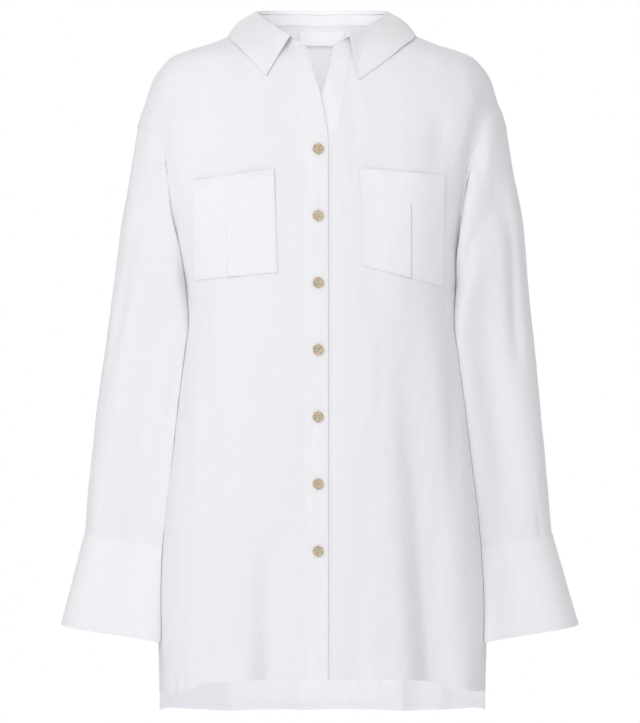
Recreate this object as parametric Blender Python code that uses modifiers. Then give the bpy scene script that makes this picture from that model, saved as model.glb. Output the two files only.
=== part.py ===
"""A long linen shirt with long sleeves, open at the neck, hollow and filled out as when worn.

Metres, +Z up. The front faces -Y, the origin lies between the shoulders at the height of the
neck, and +X is on the right as one faces the shirt. The side whose front lies on top, with
the buttonholes, is the -X side. Every cloth piece is an open surface that a Solidify
modifier gives its wall, and all body pieces share one hollow body form.
"""

import math

import bmesh
import bpy
import numpy as np
from mathutils import Matrix, Vector
from mathutils.bvhtree import BVHTree

MM = 0.001

# Cloth walls, and the gaps between pieces
CLOTH = 1.4 * MM
DOUBLE_CLOTH = 1.9 * MM
SEAM_GAP = 0.8 * MM
ARMHOLE_GAP = 1.2 * MM
LAID_ON = 0.5 * MM
POCKET_LAID_ON = 1.0 * MM

# The hollow body form: superellipses, one for each height
ROUNDNESS = 2.3
BODY_ROWS = (
    # height, half width, front depth, back depth (mm)
    (24.0, 60.0, 38.0, 56.0),
    (20.5, 70.0, 42.0, 59.5),
    (13.0, 84.0, 48.0, 66.0),
    (3.0, 108.0, 58.0, 74.0),
    (-5.0, 126.5, 66.0, 80.0),
    (-15.0, 157.5, 75.0, 87.0),
    (-22.0, 174.0, 80.0, 91.0),
    (-32.0, 184.0, 86.0, 97.0),
    (-48.0, 194.5, 93.0, 105.0),
    (-75.0, 203.0, 101.0, 115.0),
    (-100.0, 211.5, 107.0, 121.0),
    (-140.0, 211.0, 113.0, 127.0),
    (-185.0, 198.0, 117.0, 130.0),
    (-235.0, 177.0, 118.0, 130.0),
    (-262.0, 166.5, 118.0, 129.0),
    (-287.0, 160.5, 118.0, 127.0),
    (-320.0, 159.0, 118.0, 124.0),
    (-360.0, 162.0, 118.0, 122.0),
    (-427.0, 169.5, 119.0, 120.0),
    (-495.0, 176.0, 120.0, 120.0),
    (-555.0, 182.0, 121.0, 122.0),
    (-645.0, 189.0, 123.0, 126.0),
    (-800.0, 186.5, 126.0, 131.0),
)

# How far down the shoulders are searched for the height over a point, and in how many halvings
SHOULDERS_LOW = -140.0
HEIGHT_ROUNDS = 40

# The largest folds of fronts and back, as troughs that run down the cloth
FRONT, BACK = -1, 1
FOLD_ROWS = (
    # side, top x, top height, low x, low height, spread, depth at top, middle and low end (mm)
    (FRONT, 86.0, -290.0, 93.0, -500.0, 15.0, 0.0, 4.0, 9.0),
    (FRONT, 93.0, -500.0, 112.0, -760.0, 18.0, 9.0, 15.0, 21.0),
    (FRONT, 148.0, -300.0, 158.0, -560.0, 9.0, 0.0, 6.0, 0.0),
    (FRONT, -128.0, -300.0, -131.0, -700.0, 15.0, 0.0, 6.0, 3.0),
    (FRONT, -76.0, -540.0, -80.0, -760.0, 16.0, 0.0, 4.0, 8.0),
    (FRONT, 44.0, -560.0, 40.0, -760.0, 14.0, 0.0, 2.0, 4.0),
    (FRONT, 183.0, -62.0, 163.0, -170.0, 11.0, 0.0, 7.0, 10.0),
    (FRONT, 163.0, -170.0, 161.0, -285.0, 12.0, 10.0, 6.0, 0.0),
    (FRONT, 134.0, -75.0, 133.0, -165.0, 9.0, 0.0, 4.0, 0.0),
    (FRONT, -187.0, -540.0, -187.0, -800.0, 40.0, 0.0, 3.5, 4.5),
    (FRONT, -190.0, -70.0, -176.0, -160.0, 7.0, 0.0, 5.0, 7.0),
    (FRONT, -176.0, -160.0, -163.0, -290.0, 9.0, 7.0, 8.0, 0.0),
    (BACK, -187.0, -540.0, -187.0, -800.0, 40.0, 0.0, 3.5, 4.5),
    (BACK, -96.0, -190.0, -110.0, -800.0, 18.0, 0.0, 8.0, 13.0),
    (BACK, -28.0, -330.0, -22.0, -800.0, 14.0, 0.0, 4.0, 7.0),
    (BACK, 62.0, -170.0, 88.0, -800.0, 17.0, 0.0, 9.0, 15.0),
    (BACK, 128.0, -300.0, 138.0, -800.0, 12.0, 0.0, 5.0, 8.0),
    (BACK, 186.0, -115.0, 164.0, -285.0, 12.0, 0.0, 8.0, 0.0),
    (BACK, -186.0, -115.0, -164.0, -285.0, 12.0, 0.0, 8.0, 0.0),
)

# Plackets: their edges against height, the free edge and the edge that is sewn to the front
OVER_ROWS = (
    # height, sewn edge x, free edge x (mm)
    (-10.0, -37.0, -19.3),
    (-29.0, -32.1, -14.1),
    (-51.5, -28.1, -7.3),
    (-71.5, -24.8, -1.1),
    (-98.0, -21.4, 3.9),
    (-122.0, -19.1, 6.7),
    (-150.0, -19.1, 6.7),
    (-800.0, -19.1, 6.7),
)
UNDER_ROWS = (
    # height, sewn edge x, free edge x (mm)
    (-10.0, 33.0, 13.3),
    (-29.0, 30.4, 9.6),
    (-51.5, 28.1, 4.5),
    (-71.5, 24.7, -1.1),
    (-98.0, 20.2, -9.0),
    (-122.0, 13.0, -15.5),
    (-155.0, 9.8, -17.0),
    (-800.0, 9.8, -17.0),
)
PLACKET_RAISE = 0.7 * MM
PLACKET_ACROSS = 4
UNDER_SINK = 3.2 * MM
SINK_RAMP = 9.0 * MM
SINK_PAST = 4.0 * MM

# Neckline in plan, from the front seam of the yoke to the middle of the back
NECK_FRONT = ((51.0, -64.0), (64.0, -48.0), (73.5, -28.0))
NECK_BACK = ((73.5, -28.0), (80.5, 0.0), (77.0, 25.0), (62.0, 42.0), (40.0, 53.0), (0.0, 59.5))
NECK_PARTS = 6

# Where a placket ends at the neckline: its sewn edge, and the height of its free edge
NECK_SEWN_Y, NECK_SEWN_HEIGHT = -74.5, -15.0
NECK_FREE_HEIGHT = -11.5

# Armholes on the body form, from the top of the arm to the underarm
ARMHOLE_TOP, UNDERARM = -101.0, -287.0
ARMHOLE_ROWS = {
    (FRONT, -1): ((206.0, -104.0), (193.0, -112.0), (181.0, -123.0), (177.0, -150.0),
                  (172.0, -195.0), (164.0, -250.0)),
    (FRONT, 1): ((206.0, -105.0), (193.0, -113.0), (180.0, -124.0), (168.0, -150.0),
                 (162.0, -195.0), (161.5, -250.0)),
    (BACK, -1): ((206.0, -107.0), (198.0, -118.0), (189.0, -140.0), (180.0, -190.0),
                 (168.0, -245.0)),
    (BACK, 1): ((206.0, -107.0), (198.0, -118.0), (189.0, -140.0), (180.0, -190.0),
                (168.0, -245.0)),
}
ARMHOLE_PARTS = 12

# Yoke: cells across the back seam and down each shoulder, and the armhole cells that it takes
YOKE_ACROSS = 24
YOKE_DOWN = 7
YOKE_FRONT_PARTS = 1
YOKE_BACK_PARTS = 3
YOKE_PARTS = YOKE_ACROSS + 2 * (YOKE_FRONT_PARTS + YOKE_BACK_PARTS)

# How fast the shape of a panel's top and bottom edge fades in its grid
EDGE_FADE = 4.0
# How a front's rows level out towards its side, and the height below which they are level
ROW_EASE = 1.8
LEVEL_BELOW = -400.0

# Hems and side vents
VENT_TOP = -655.0
VENT_OPEN = 12.0
VENT_PARTS = 4
FRONT_HEM = {
    # x and height (mm), from the placket to the side
    -1: ((0.0, -727.0), (60.0, -727.5), (118.0, -730.5), (138.0, -733.0), (152.0, -741.0),
         (187.0, -746.0)),
    1: ((0.0, -727.0), (60.0, -727.0), (95.0, -728.0), (120.0, -730.5), (140.0, -737.5),
        (187.0, -746.0)),
}
BACK_HEM = ((0.0, -780.0), (100.0, -780.0), (150.0, -777.0), (187.0, -771.0))
YOKE_SEAM_BACK = -114.0
SIDE_PARTS = 15
SIDE_CROWDING = 1.25
FRONT_ACROSS = NECK_PARTS + YOKE_DOWN

# Sleeves: the outer and inner line of each ring, down to the cuff seam
SLEEVE_ROWS = (
    # outer height, outer x on the -X and the +X side, inner x, inner height, half depth, middle y (mm)
    (-101.0, 211.5, 211.5, 160.5, -287.0, 70.0, 0.0),
    (-125.0, 215.5, 215.5, 164.5, -291.0, 73.0, 1.0),
    (-150.0, 219.5, 219.5, 164.5, -297.0, 75.0, 3.0),
    (-178.0, 224.0, 225.0, 162.5, -305.0, 75.0, 6.0),
    (-215.0, 230.5, 231.0, 160.5, -317.0, 74.0, 10.0),
    (-262.0, 236.5, 235.5, 160.5, -336.0, 71.0, 15.0),
    (-314.0, 244.5, 240.5, 162.5, -364.0, 67.0, 19.0),
    (-366.0, 251.5, 246.0, 167.0, -402.0, 65.0, 21.0),
    (-420.0, 258.5, 251.5, 171.0, -446.0, 63.0, 22.0),
    (-474.0, 264.5, 256.5, 175.5, -493.0, 60.0, 22.0),
    (-520.0, 269.5, 260.5, 180.0, -537.0, 57.0, 22.0),
    (-567.5, 273.3, 265.3, 184.5, -583.5, 55.0, 22.0),
)
SLEEVE_RINGS = 17
SLEEVE_ROUNDNESS = 2.15
SLEEVE_CLEARANCE = 2.0 * MM
# Shares of its length at which a sleeve is clear of the body, flat across and round
SLEEVE_LEAVES = 0.06
SLEEVE_FLAT_AT = 0.2
SLEEVE_ROUND_AT = 0.35
# The largest folds of the sleeves, as troughs between two shares of the length
SLEEVE_FOLDS = (
    # side, start and end share, angle at start, at end and spread (degrees), depth (mm)
    (-1, 0.10, 0.62, 62.0, 40.0, 13.0, 4.0),
    (-1, 0.30, 0.95, 128.0, 112.0, 13.0, 4.5),
    (-1, 0.25, 0.90, 250.0, 262.0, 15.0, 5.0),
    (1, 0.05, 0.55, 52.0, 66.0, 12.0, 6.5),
    (1, 0.35, 0.98, 100.0, 84.0, 12.0, 4.0),
    (1, 0.20, 0.85, 255.0, 240.0, 15.0, 5.0),
)

# Cuffs: turned out below the sleeve, wider at the hem, with the same columns
CUFF_ROWS = (
    (-567.5, 273.3, 265.3, 184.5, -583.5, 55.0, 22.0),
    (-605.0, 283.0, 276.0, 187.5, -621.0, 60.0, 22.0),
    (-640.0, 292.0, 286.0, 190.0, -657.0, 63.5, 22.0),
    (-672.0, 300.5, 295.5, 190.5, -691.0, 66.0, 22.0),
)
CUFF_RINGS = 4

# Collar, from the middle of the back to each front end
COLLAR_ROWS = {
    -1: (
        # share, fold x, fold y, fold height, edge x, edge y, edge height (mm)
        (0.0, 0.0, 50.0, 35.5, 0.0, 86.0, -8.0),
        (0.20, 33.0, 47.0, 35.5, 45.0, 80.0, -8.0),
        (0.38, 60.0, 36.0, 35.0, 82.0, 58.0, -5.0),
        (0.54, 75.0, 12.0, 32.0, 107.0, 12.0, 5.0),
        (0.68, 67.5, -16.0, 23.0, 103.0, -45.0, -6.0),
        (0.79, 58.5, -36.0, 15.5, 92.0, -63.0, -19.0),
        (0.90, 47.0, -55.0, 6.5, 80.0, -78.0, -30.0),
        (1.0, 34.5, -73.0, -1.5, 63.0, -92.0, -47.0),
    ),
    1: (
        (0.0, 0.0, 50.0, 35.5, 0.0, 86.0, -8.0),
        (0.20, 33.0, 47.0, 35.5, 45.0, 80.0, -8.0),
        (0.38, 60.0, 36.0, 35.0, 82.0, 58.0, -5.0),
        (0.54, 75.0, 12.0, 32.0, 107.0, 12.0, 5.0),
        (0.68, 66.5, -16.0, 23.0, 102.0, -45.0, -7.0),
        (0.79, 57.5, -36.0, 15.5, 86.0, -66.0, -21.0),
        (0.90, 45.0, -55.0, 6.5, 65.0, -84.0, -36.0),
        (1.0, 30.0, -74.0, -1.5, 41.0, -96.0, -52.0),
    ),
}
STAND_SHARE = 0.78
FALL_START = 0.86
FOLD_ROLL = 3.6 * MM
FOLD_DROP = 1.6 * MM
FALL_BULGE = 2.5 * MM
FALL_CLEARANCE = 1.5 * MM
FALL_SHARES = (0.35, 0.7, 1.0)
STAND_END_PARTS = 2

# Pockets: the four corners of each, and the pleat below the deep top hem
POCKETS = {
    # upper outer, upper inner, lower inner, lower outer corner (x and height, mm)
    -1: ((-145.0, -166.0), (-54.0, -153.0), (-50.0, -269.5), (-144.5, -278.0)),
    1: ((138.0, -160.0), (42.5, -152.5), (45.5, -262.0), (136.0, -285.0)),
}
POCKET_PARTS = 9
POCKET_HEM = 0.30
POCKET_HEM_RAISE = 0.6 * MM
POCKET_STEP = 0.013
PLEAT_AT = 0.40
PLEAT_WIDTH = 0.24
PLEAT_RAISE = 1.3 * MM

# Buttons
BUTTON_COUNT = 7
BUTTON_RADIUS = 5.9 * MM
BUTTON_THICKNESS = 2.4 * MM
BUTTON_X = -4.5 * MM
BUTTON_TOP_Z = -130.5 * MM
BUTTON_PITCH = 75.3 * MM
BUTTON_SIDES = 14
BUTTON_RIM = 1.4 * MM
BUTTON_EDGE = 0.5 * MM
BUTTON_DISH = 0.5 * MM
BUTTON_HOLE_RADIUS = 0.85 * MM
BUTTON_HOLE_OFFSET = 1.6 * MM
BUTTON_HOLE_SIDES = 5

# Neck label, bare, on the inside of the yoke
LABEL_HALF_WIDTH = 26.0 * MM
LABEL_TOP, LABEL_LOW = 15.0 * MM, -1.5 * MM
LABEL_WALL = 1.0 * MM
LABEL_LAID_ON = 1.6 * MM
LABEL_HANGS_OFF = 2.0 * MM
LABEL_ACROSS, LABEL_DOWN = 6, 3

# Colours: linen single, linen double, label tape, button shell
LINEN = (0.84, 0.84, 0.87)
LINEN_DOUBLE = (0.88, 0.88, 0.90)
LABEL_TAPE = (0.90, 0.90, 0.90)
BUTTON_COLOUR = (0.42, 0.31, 0.20)


def smooth_rows(rows):
    """Reads every column of a table against its first one, on a smooth curve with no overshoot."""
    data = np.array(rows, float)
    data = data[np.argsort(data[:, 0])]
    at, values = data[:, 0], data[:, 1:]
    step = np.diff(at)[:, None]
    slope = np.diff(values, axis=0) / step
    same = slope[1:] * slope[:-1] > 0.0
    mean = 2.0 * slope[1:] * slope[:-1] / np.where(same, slope[1:] + slope[:-1], 1.0)
    tangent = np.vstack([slope[:1], np.where(same, mean, 0.0), slope[-1:]])

    def read(x):
        x = np.clip(np.asarray(x, float), at[0], at[-1])
        i = np.clip(np.searchsorted(at, x) - 1, 0, len(at) - 2)
        width = (at[i + 1] - at[i])[..., None]
        t = (x - at[i])[..., None] / width
        rise = 3.0 * t**2 - 2.0 * t**3
        ease_in = t * (1.0 - t) ** 2
        ease_out = t**2 * (t - 1.0)
        ends = values[i] * (1.0 - rise) + values[i + 1] * rise
        return ends + width * (ease_in * tangent[i] + ease_out * tangent[i + 1])

    return read


def spaced(points, parts):
    """The points of a path, spaced evenly by length on a smooth curve through them."""
    points = np.array(points, float)
    lengths = np.r_[0.0, np.cumsum(np.linalg.norm(np.diff(points, axis=0), axis=1))]
    read = smooth_rows(np.column_stack([lengths, points]))
    dense = read(np.linspace(0.0, lengths[-1], 40 * parts + 1))
    along = np.r_[0.0, np.cumsum(np.linalg.norm(np.diff(dense, axis=0), axis=1))]
    wanted = np.linspace(0.0, along[-1], parts + 1)
    return np.column_stack([np.interp(wanted, along, column) for column in dense.T])


def smooth_step(t):
    t = np.clip(t, 0.0, 1.0)
    return t * t * (3.0 - 2.0 * t)


body_sizes = smooth_rows(np.array(BODY_ROWS) * MM)
over_edges = smooth_rows(np.array(OVER_ROWS) * MM)
under_edges = smooth_rows(np.array(UNDER_ROWS) * MM)


def body_point(angle, height):
    """A point of the body form; angle 0 is the middle front and a quarter turn is the side."""
    sizes = body_sizes(height)
    sine, cosine = np.sin(angle), np.cos(angle)
    power = 2.0 / ROUNDNESS
    x = sizes[..., 0] * np.sign(sine) * np.abs(sine) ** power
    depth = np.where(cosine >= 0.0, -sizes[..., 1], sizes[..., 2])
    y = depth * np.abs(cosine) ** power
    return np.stack([x, y, np.broadcast_to(height, x.shape)], axis=-1)


def body_angle(x, height, side):
    """The angle of the point at x on the front or the back of the body form."""
    share = np.clip(np.abs(x) / body_sizes(height)[..., 0], 0.0, 1.0)
    angle = np.arcsin(share ** (ROUNDNESS / 2.0))
    if side == BACK:
        angle = math.pi - angle
    return np.sign(x) * angle if side == FRONT else np.where(x < 0.0, -angle, angle)


def outside(x, y, height):
    """How far out a point lies: 1 on the body form, less inside it."""
    sizes = body_sizes(height)
    depth = np.where(y < 0.0, sizes[..., 1], sizes[..., 2])
    total = (np.abs(x) / sizes[..., 0]) ** ROUNDNESS + (np.abs(y) / depth) ** ROUNDNESS
    return total ** (1.0 / ROUNDNESS)


def height_above(x, y):
    """The height of the shoulders over a point of the plan."""
    low = np.full(np.shape(x), SHOULDERS_LOW * MM)
    high = np.full(np.shape(x), BODY_ROWS[0][0] * MM)
    for _ in range(HEIGHT_ROUNDS):
        middle = (low + high) / 2.0
        over = outside(x, y, middle) < 1.0
        low, high = np.where(over, middle, low), np.where(over, high, middle)
    return (low + high) / 2.0


def plan_angle(x, y, height):
    """The angle on the body form of a point that lies on it."""
    sizes = body_sizes(height)
    depth = np.where(y < 0.0, sizes[..., 1], sizes[..., 2])
    sine = np.clip(np.abs(x) / sizes[..., 0], 0.0, 1.0) ** (ROUNDNESS / 2.0)
    cosine = np.clip(np.abs(y) / depth, 0.0, 1.0) ** (ROUNDNESS / 2.0)
    angle = np.arctan2(sine, np.where(y < 0.0, cosine, -cosine))
    return np.where(x < 0.0, -angle, angle)


def fold_depth(x, height, side):
    """How far the folds draw the cloth in at a point."""
    total = np.zeros(np.shape(x))
    for fold_side, top_x, top_z, low_x, low_z, spread, *depths in FOLD_ROWS:
        share = (height / MM - top_z) / (low_z - top_z)
        inside = (share > 0.0) & (share <= 1.0) & (side == fold_side)
        share = np.clip(share, 0.0, 1.0)
        middle = top_x + (low_x - top_x) * share
        upper = depths[0] + (depths[1] - depths[0]) * smooth_step(2.0 * share)
        lower = (depths[2] - depths[1]) * smooth_step(2.0 * share - 1.0)
        across = (x / MM - middle) / spread
        total = total + np.where(inside, (upper + lower) * np.exp(-(across**2)), 0.0) * MM
    return total


def body_normal(angle, height):
    """The level direction straight out of the body form."""
    sizes = body_sizes(height)
    power = 2.0 - 2.0 / ROUNDNESS
    sine, cosine = np.sin(angle), np.cos(angle)
    depth = np.where(cosine >= 0.0, sizes[..., 1], sizes[..., 2])
    x = np.sign(sine) * np.abs(sine) ** power / sizes[..., 0]
    y = -np.sign(cosine) * np.abs(cosine) ** power / depth
    normal = np.stack([x, y, np.zeros_like(x)], axis=-1)
    return normal / np.linalg.norm(normal, axis=-1, keepdims=True)


def cloth_point(angle, height, out=0.0):
    """A point of the cloth, with the folds drawn in, moved out by a distance."""
    points = body_point(angle, height)
    side = np.where(np.cos(angle) >= 0.0, FRONT, BACK)
    drawn_in = fold_depth(points[..., 0], height, side)
    return points + body_normal(angle, height) * (out - drawn_in)[..., None]


def patch(top, bottom, first, last, ease=1.0):
    """A grid of points between four edges, top and bottom across, first and last down.

    Each row is ruled from the first to the last edge, in height with an ease that levels it
    out at the last edge; the shapes of top and bottom fade out within the rows next to them.
    """
    share = np.linspace(0.0, 1.0, len(top))
    across = np.column_stack([share, 1.0 - (1.0 - share) ** ease])[None]
    down = np.linspace(0.0, 1.0, len(first))[:, None, None]
    ruled = (1.0 - across) * first[:, None] + across * last[:, None]
    top_shape = (top[None] - ruled[:1]) * (1.0 - down) ** EDGE_FADE
    bottom_shape = (bottom[None] - ruled[-1:]) * down**EDGE_FADE
    return ruled + top_shape + bottom_shape


def trimmed(grid, edges, gap=SEAM_GAP):
    """The grid with some edges drawn back by half a seam gap: top, bottom, first, last."""
    grid = grid.copy()
    places = {
        "top": ((0,), (1,)),
        "bottom": ((-1,), (-2,)),
        "first": ((slice(None), 0), (slice(None), 1)),
        "last": ((slice(None), -1), (slice(None), -2)),
    }
    for edge in edges:
        at, inner = places[edge]
        way = grid[inner] - grid[at]
        along = np.gradient(grid[at], axis=0)
        along = along / np.linalg.norm(along, axis=-1, keepdims=True)
        way = way - along * (way * along).sum(axis=-1, keepdims=True)
        grid[at] = grid[at] + way / np.linalg.norm(way, axis=-1, keepdims=True) * gap / 2.0
    return grid


def new_material(name, colour, roughness):
    material = bpy.data.materials.new(name)
    material.use_nodes = True
    shader = material.node_tree.nodes["Principled BSDF"]
    shader.inputs["Base Color"].default_value = (*colour, 1.0)
    shader.inputs["Roughness"].default_value = roughness
    shader.inputs["Metallic"].default_value = 0.0
    return material


def add_object(name, mesh, material):
    mesh.materials.append(material)
    piece = bpy.data.objects.new(name, mesh)
    shirt.objects.link(piece)
    return piece


def grid_object(name, grid, wall, material, closed=False, outward=None):
    """A cloth piece from a grid of points of its outer face; the wall goes inward."""
    rows, columns = grid.shape[:2]
    work = bmesh.new()
    bmesh.ops.create_grid(work, x_segments=columns - 1, y_segments=rows - 1, size=0.5)
    work.verts.ensure_lookup_table()
    places = sorted(work.verts, key=lambda v: (round(v.co.y, 6), round(v.co.x, 6)))
    for vertex, place in zip(places, grid.reshape(-1, 3)):
        vertex.co = place
    if closed:
        bmesh.ops.remove_doubles(work, verts=work.verts, dist=0.01 * MM)
    work.normal_update()
    middle = Vector(grid.reshape(-1, 3).mean(axis=0)) if outward is None else None
    votes = 0.0
    for face in work.faces:
        way = face.calc_center_median() - middle if outward is None else outward
        votes += face.normal.dot(way) * face.calc_area()
    if votes < 0.0:
        bmesh.ops.reverse_faces(work, faces=work.faces)
    mesh = bpy.data.meshes.new(name)
    work.to_mesh(mesh)
    work.free()
    mesh.shade_smooth()
    piece = add_object(name, mesh, material)
    solidify = piece.modifiers.new("wall", "SOLIDIFY")
    solidify.thickness = wall
    solidify.offset = -1.0
    solidify.use_even_offset = False
    return piece


def neckline():
    """The neckline in plan from the -X front end round the back to the +X front end."""
    edges = {side: neck_front_end(side) for side in (-1, 1)}
    front = {side: neck_front(side, edges[side][1]) for side in (-1, 1)}
    right_back = np.array(NECK_BACK) * MM
    left_back = right_back * (-1.0, 1.0)
    back = spaced(np.vstack([left_back, right_back[::-1][1:]]), YOKE_PARTS)
    return edges, front, back


def on_shoulder(plan):
    """Points of the body form over points of the plan."""
    height = height_above(plan[..., 0], plan[..., 1])
    return np.concatenate([plan, height[..., None]], axis=-1)


def neck_front_end(side):
    """The free and the sewn end of a placket's top edge, in x and height."""
    edges_at = over_edges if side < 0 else under_edges
    sewn = float(edges_at(NECK_SEWN_HEIGHT * MM)[0])
    free = float(edges_at(NECK_FREE_HEIGHT * MM)[1])
    sewn_height = float(height_above(np.array(sewn), np.array(NECK_SEWN_Y * MM)))
    return (free, NECK_FREE_HEIGHT * MM), (sewn, sewn_height)


def neck_front(side, sewn):
    """The neckline of one front in plan, from the placket to the yoke's front seam."""
    points = np.vstack([[abs(sewn[0]) / MM, NECK_SEWN_Y], NECK_FRONT]) * MM
    return spaced(points, NECK_PARTS) * (side, 1.0)


def armhole(face, side):
    """The armhole of one face, from the top of the arm to the underarm, in angle and height."""
    inner = np.array(ARMHOLE_ROWS[face, side]) * MM
    angles = np.abs(body_angle(side * inner[:, 0], inner[:, 1], face))
    rows = np.column_stack([angles, inner[:, 1]])
    ends = np.array([[math.pi / 2.0, ARMHOLE_TOP * MM], [math.pi / 2.0, UNDERARM * MM]])
    rows = np.vstack([ends[:1], rows, ends[1:]])
    places = body_point(rows[:, 0], rows[:, 1])
    lengths = np.r_[0.0, np.cumsum(np.linalg.norm(np.diff(places, axis=0), axis=1))]
    read = smooth_rows(np.column_stack([lengths, rows]))
    dense = read(np.linspace(0.0, lengths[-1], 400))
    places = body_point(dense[:, 0], dense[:, 1])
    along = np.r_[0.0, np.cumsum(np.linalg.norm(np.diff(places, axis=0), axis=1))]
    wanted = np.linspace(0.0, along[-1], ARMHOLE_PARTS + 1)
    path = np.column_stack([np.interp(wanted, along, column) for column in dense.T])
    return path * (side, 1.0)


def side_seam(side, face, hem_height):
    """The side seam and vent of one face, from the underarm to the hem."""
    steps = np.linspace(0.0, 1.0, SIDE_PARTS - VENT_PARTS + 1) ** SIDE_CROWDING
    heights = (UNDERARM + (VENT_TOP - UNDERARM) * steps) * MM
    vent = np.linspace(VENT_TOP * MM, hem_height, VENT_PARTS + 1)
    heights = np.concatenate([heights[1:], vent[1:]])
    open_share = np.clip((VENT_TOP * MM - heights) / (VENT_TOP * MM - hem_height), 0.0, 1.0)
    swing = (VENT_OPEN * MM * open_share / body_sizes(heights)[:, 1]) ** (ROUNDNESS / 2.0)
    angles = math.pi / 2.0 + face * swing
    return np.column_stack([side * angles, heights])


def make_front(side, name):
    """A front, from its placket to the armhole and the side seam, and from neck to hem."""
    edges, fronts, _ = neckline()
    neck = on_shoulder(fronts[side])
    hole = armhole(FRONT, side)
    tip = body_point(hole[YOKE_FRONT_PARTS, 0], hole[YOKE_FRONT_PARTS, 1])
    seam = on_shoulder(np.linspace(neck[-1, :2], tip[:2], YOKE_DOWN + 1))
    top = np.vstack([neck, seam[1:]])
    top = np.column_stack([plan_angle(top[:, 0], top[:, 1], top[:, 2]), top[:, 2]])
    hem_rows = smooth_rows(np.array(FRONT_HEM[side]) * MM)
    hem_height = FRONT_HEM[side][0][1] * MM
    placket = over_edges if side < 0 else under_edges
    hem_start = float(placket(hem_height)[0])
    start_angle = body_angle(hem_start, np.array(hem_height), FRONT)
    side_path = side_seam(side, FRONT, FRONT_HEM[side][-1][1] * MM)
    last = np.vstack([hole[YOKE_FRONT_PARTS:], side_path])
    hem_angles = np.linspace(start_angle, last[-1, 0], FRONT_ACROSS + 1)
    hem_x = body_sizes(hem_height)[0] * np.abs(np.sin(hem_angles)) ** (2.0 / ROUNDNESS)
    bottom = np.column_stack([hem_angles, hem_rows(hem_x)[:, 0]])
    first_z = placket_heights(last[:, 1], top[0, 1], side)
    first = np.column_stack([body_angle(placket(first_z)[:, 0], first_z, FRONT), first_z])
    top[0], bottom[0] = first[0], first[-1]
    top[-1], bottom[-1] = last[0], last[-1]
    grid = patch(top, bottom, first, last, ROW_EASE)
    sink = 0.0
    if side > 0:
        x = body_point(grid[..., 0], grid[..., 1])[..., 0]
        sink = under_sink(x, grid[..., 1])
    points = cloth_point(grid[..., 0], grid[..., 1], -sink)
    points = trimmed(points, ("top", "first", "last"))
    return grid_object(name, points, CLOTH, linen)


def placket_heights(side_heights, top, side):
    """The height at which each row of a front meets its placket."""
    hem = FRONT_HEM[side][0][1] * MM
    level = LEVEL_BELOW * MM
    return np.interp(side_heights, [side_heights[-1], level, side_heights[0]], [hem, level, top])


def under_sink(x, height):
    """How deep the under front passes below the placket that covers it."""
    edge = over_edges(height)[..., 1]
    return UNDER_SINK * smooth_step((edge + SINK_PAST + SINK_RAMP - x) / SINK_RAMP)


def make_placket(side, name):
    """A placket: a doubled strip along the edge of a front."""
    edges_at = over_edges if side < 0 else under_edges
    (free_x, free_z), (sewn_x, sewn_z) = neck_front_end(side)
    sewn_z = on_shoulder(neck_front(side, (sewn_x, sewn_z))[:1])[0, 2]
    side_path = side_seam(side, FRONT, FRONT_HEM[side][-1][1] * MM)
    rows = np.vstack([armhole(FRONT, side)[YOKE_FRONT_PARTS:], side_path])
    columns = []
    for part in np.linspace(0.0, 1.0, PLACKET_ACROSS + 1):
        top = sewn_z + (free_z - sewn_z) * part
        z = placket_heights(rows[:, 1], top, side)
        edges = edges_at(z)
        x = edges[:, 0] + (edges[:, 1] - edges[:, 0]) * part
        columns.append(np.column_stack([body_angle(x, z, FRONT), z]))
    grid = np.stack(columns, axis=1)
    x = body_point(grid[..., 0], grid[..., 1])[..., 0]
    sink = under_sink(x, grid[..., 1]) if side > 0 else np.zeros_like(x)
    raise_by = PLACKET_RAISE - sink
    points = trimmed(cloth_point(grid[..., 0], grid[..., 1], raise_by), ("top", "first"))
    return grid_object(name, points, DOUBLE_CLOTH, linen_double, outward=Vector((0, -1, 0)))


def make_back():
    """The back, below the yoke, down to its longer hem."""
    holes = {side: armhole(BACK, side) for side in (-1, 1)}
    ends = {side: holes[side][YOKE_BACK_PARTS] for side in (-1, 1)}
    top = back_yoke_seam(ends)
    last = {}
    for side in (-1, 1):
        seam = side_seam(side, BACK, BACK_HEM[-1][1] * MM)
        last[side] = np.vstack([holes[side][YOKE_BACK_PARTS:], seam])
        last[side][:, 0] = unwrapped(last[side][:, 0])
    top[:, 0] = unwrapped(top[:, 0])
    low = last[-1][-1, 0], last[1][-1, 0]
    hem_angles = np.linspace(low[0], low[1], YOKE_ACROSS + 1)
    half_width = body_sizes(BACK_HEM[0][1] * MM)[0]
    hem_x = half_width * np.abs(np.sin(hem_angles)) ** (2.0 / ROUNDNESS)
    hem_rows = smooth_rows(np.array(BACK_HEM) * MM)
    bottom = np.column_stack([hem_angles, hem_rows(hem_x)[:, 0]])
    bottom[0], bottom[-1] = last[-1][-1], last[1][-1]
    grid = patch(top, bottom, last[-1], last[1])
    points = cloth_point(grid[..., 0], grid[..., 1])
    points = trimmed(points, ("top", "first", "last"))
    return grid_object("back", points, CLOTH, linen)


def unwrapped(angle):
    """Angles counted from -X round the back to +X, so that they grow without a jump."""
    return np.where(angle < 0.0, angle + 2.0 * math.pi, angle)


def back_yoke_seam(ends):
    """The yoke's seam across the back, between the two armholes, in angle and height."""
    start, end = unwrapped(ends[-1][0]), unwrapped(ends[1][0])
    angles = np.linspace(start, end, YOKE_ACROSS + 1)
    across = np.abs(np.linspace(-1.0, 1.0, YOKE_ACROSS + 1))
    low = (ends[-1][1] + ends[1][1]) / 2.0
    heights = YOKE_SEAM_BACK * MM + (low - YOKE_SEAM_BACK * MM) * across**2
    heights[0], heights[-1] = ends[-1][1], ends[1][1]
    return np.column_stack([angles, heights])


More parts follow.
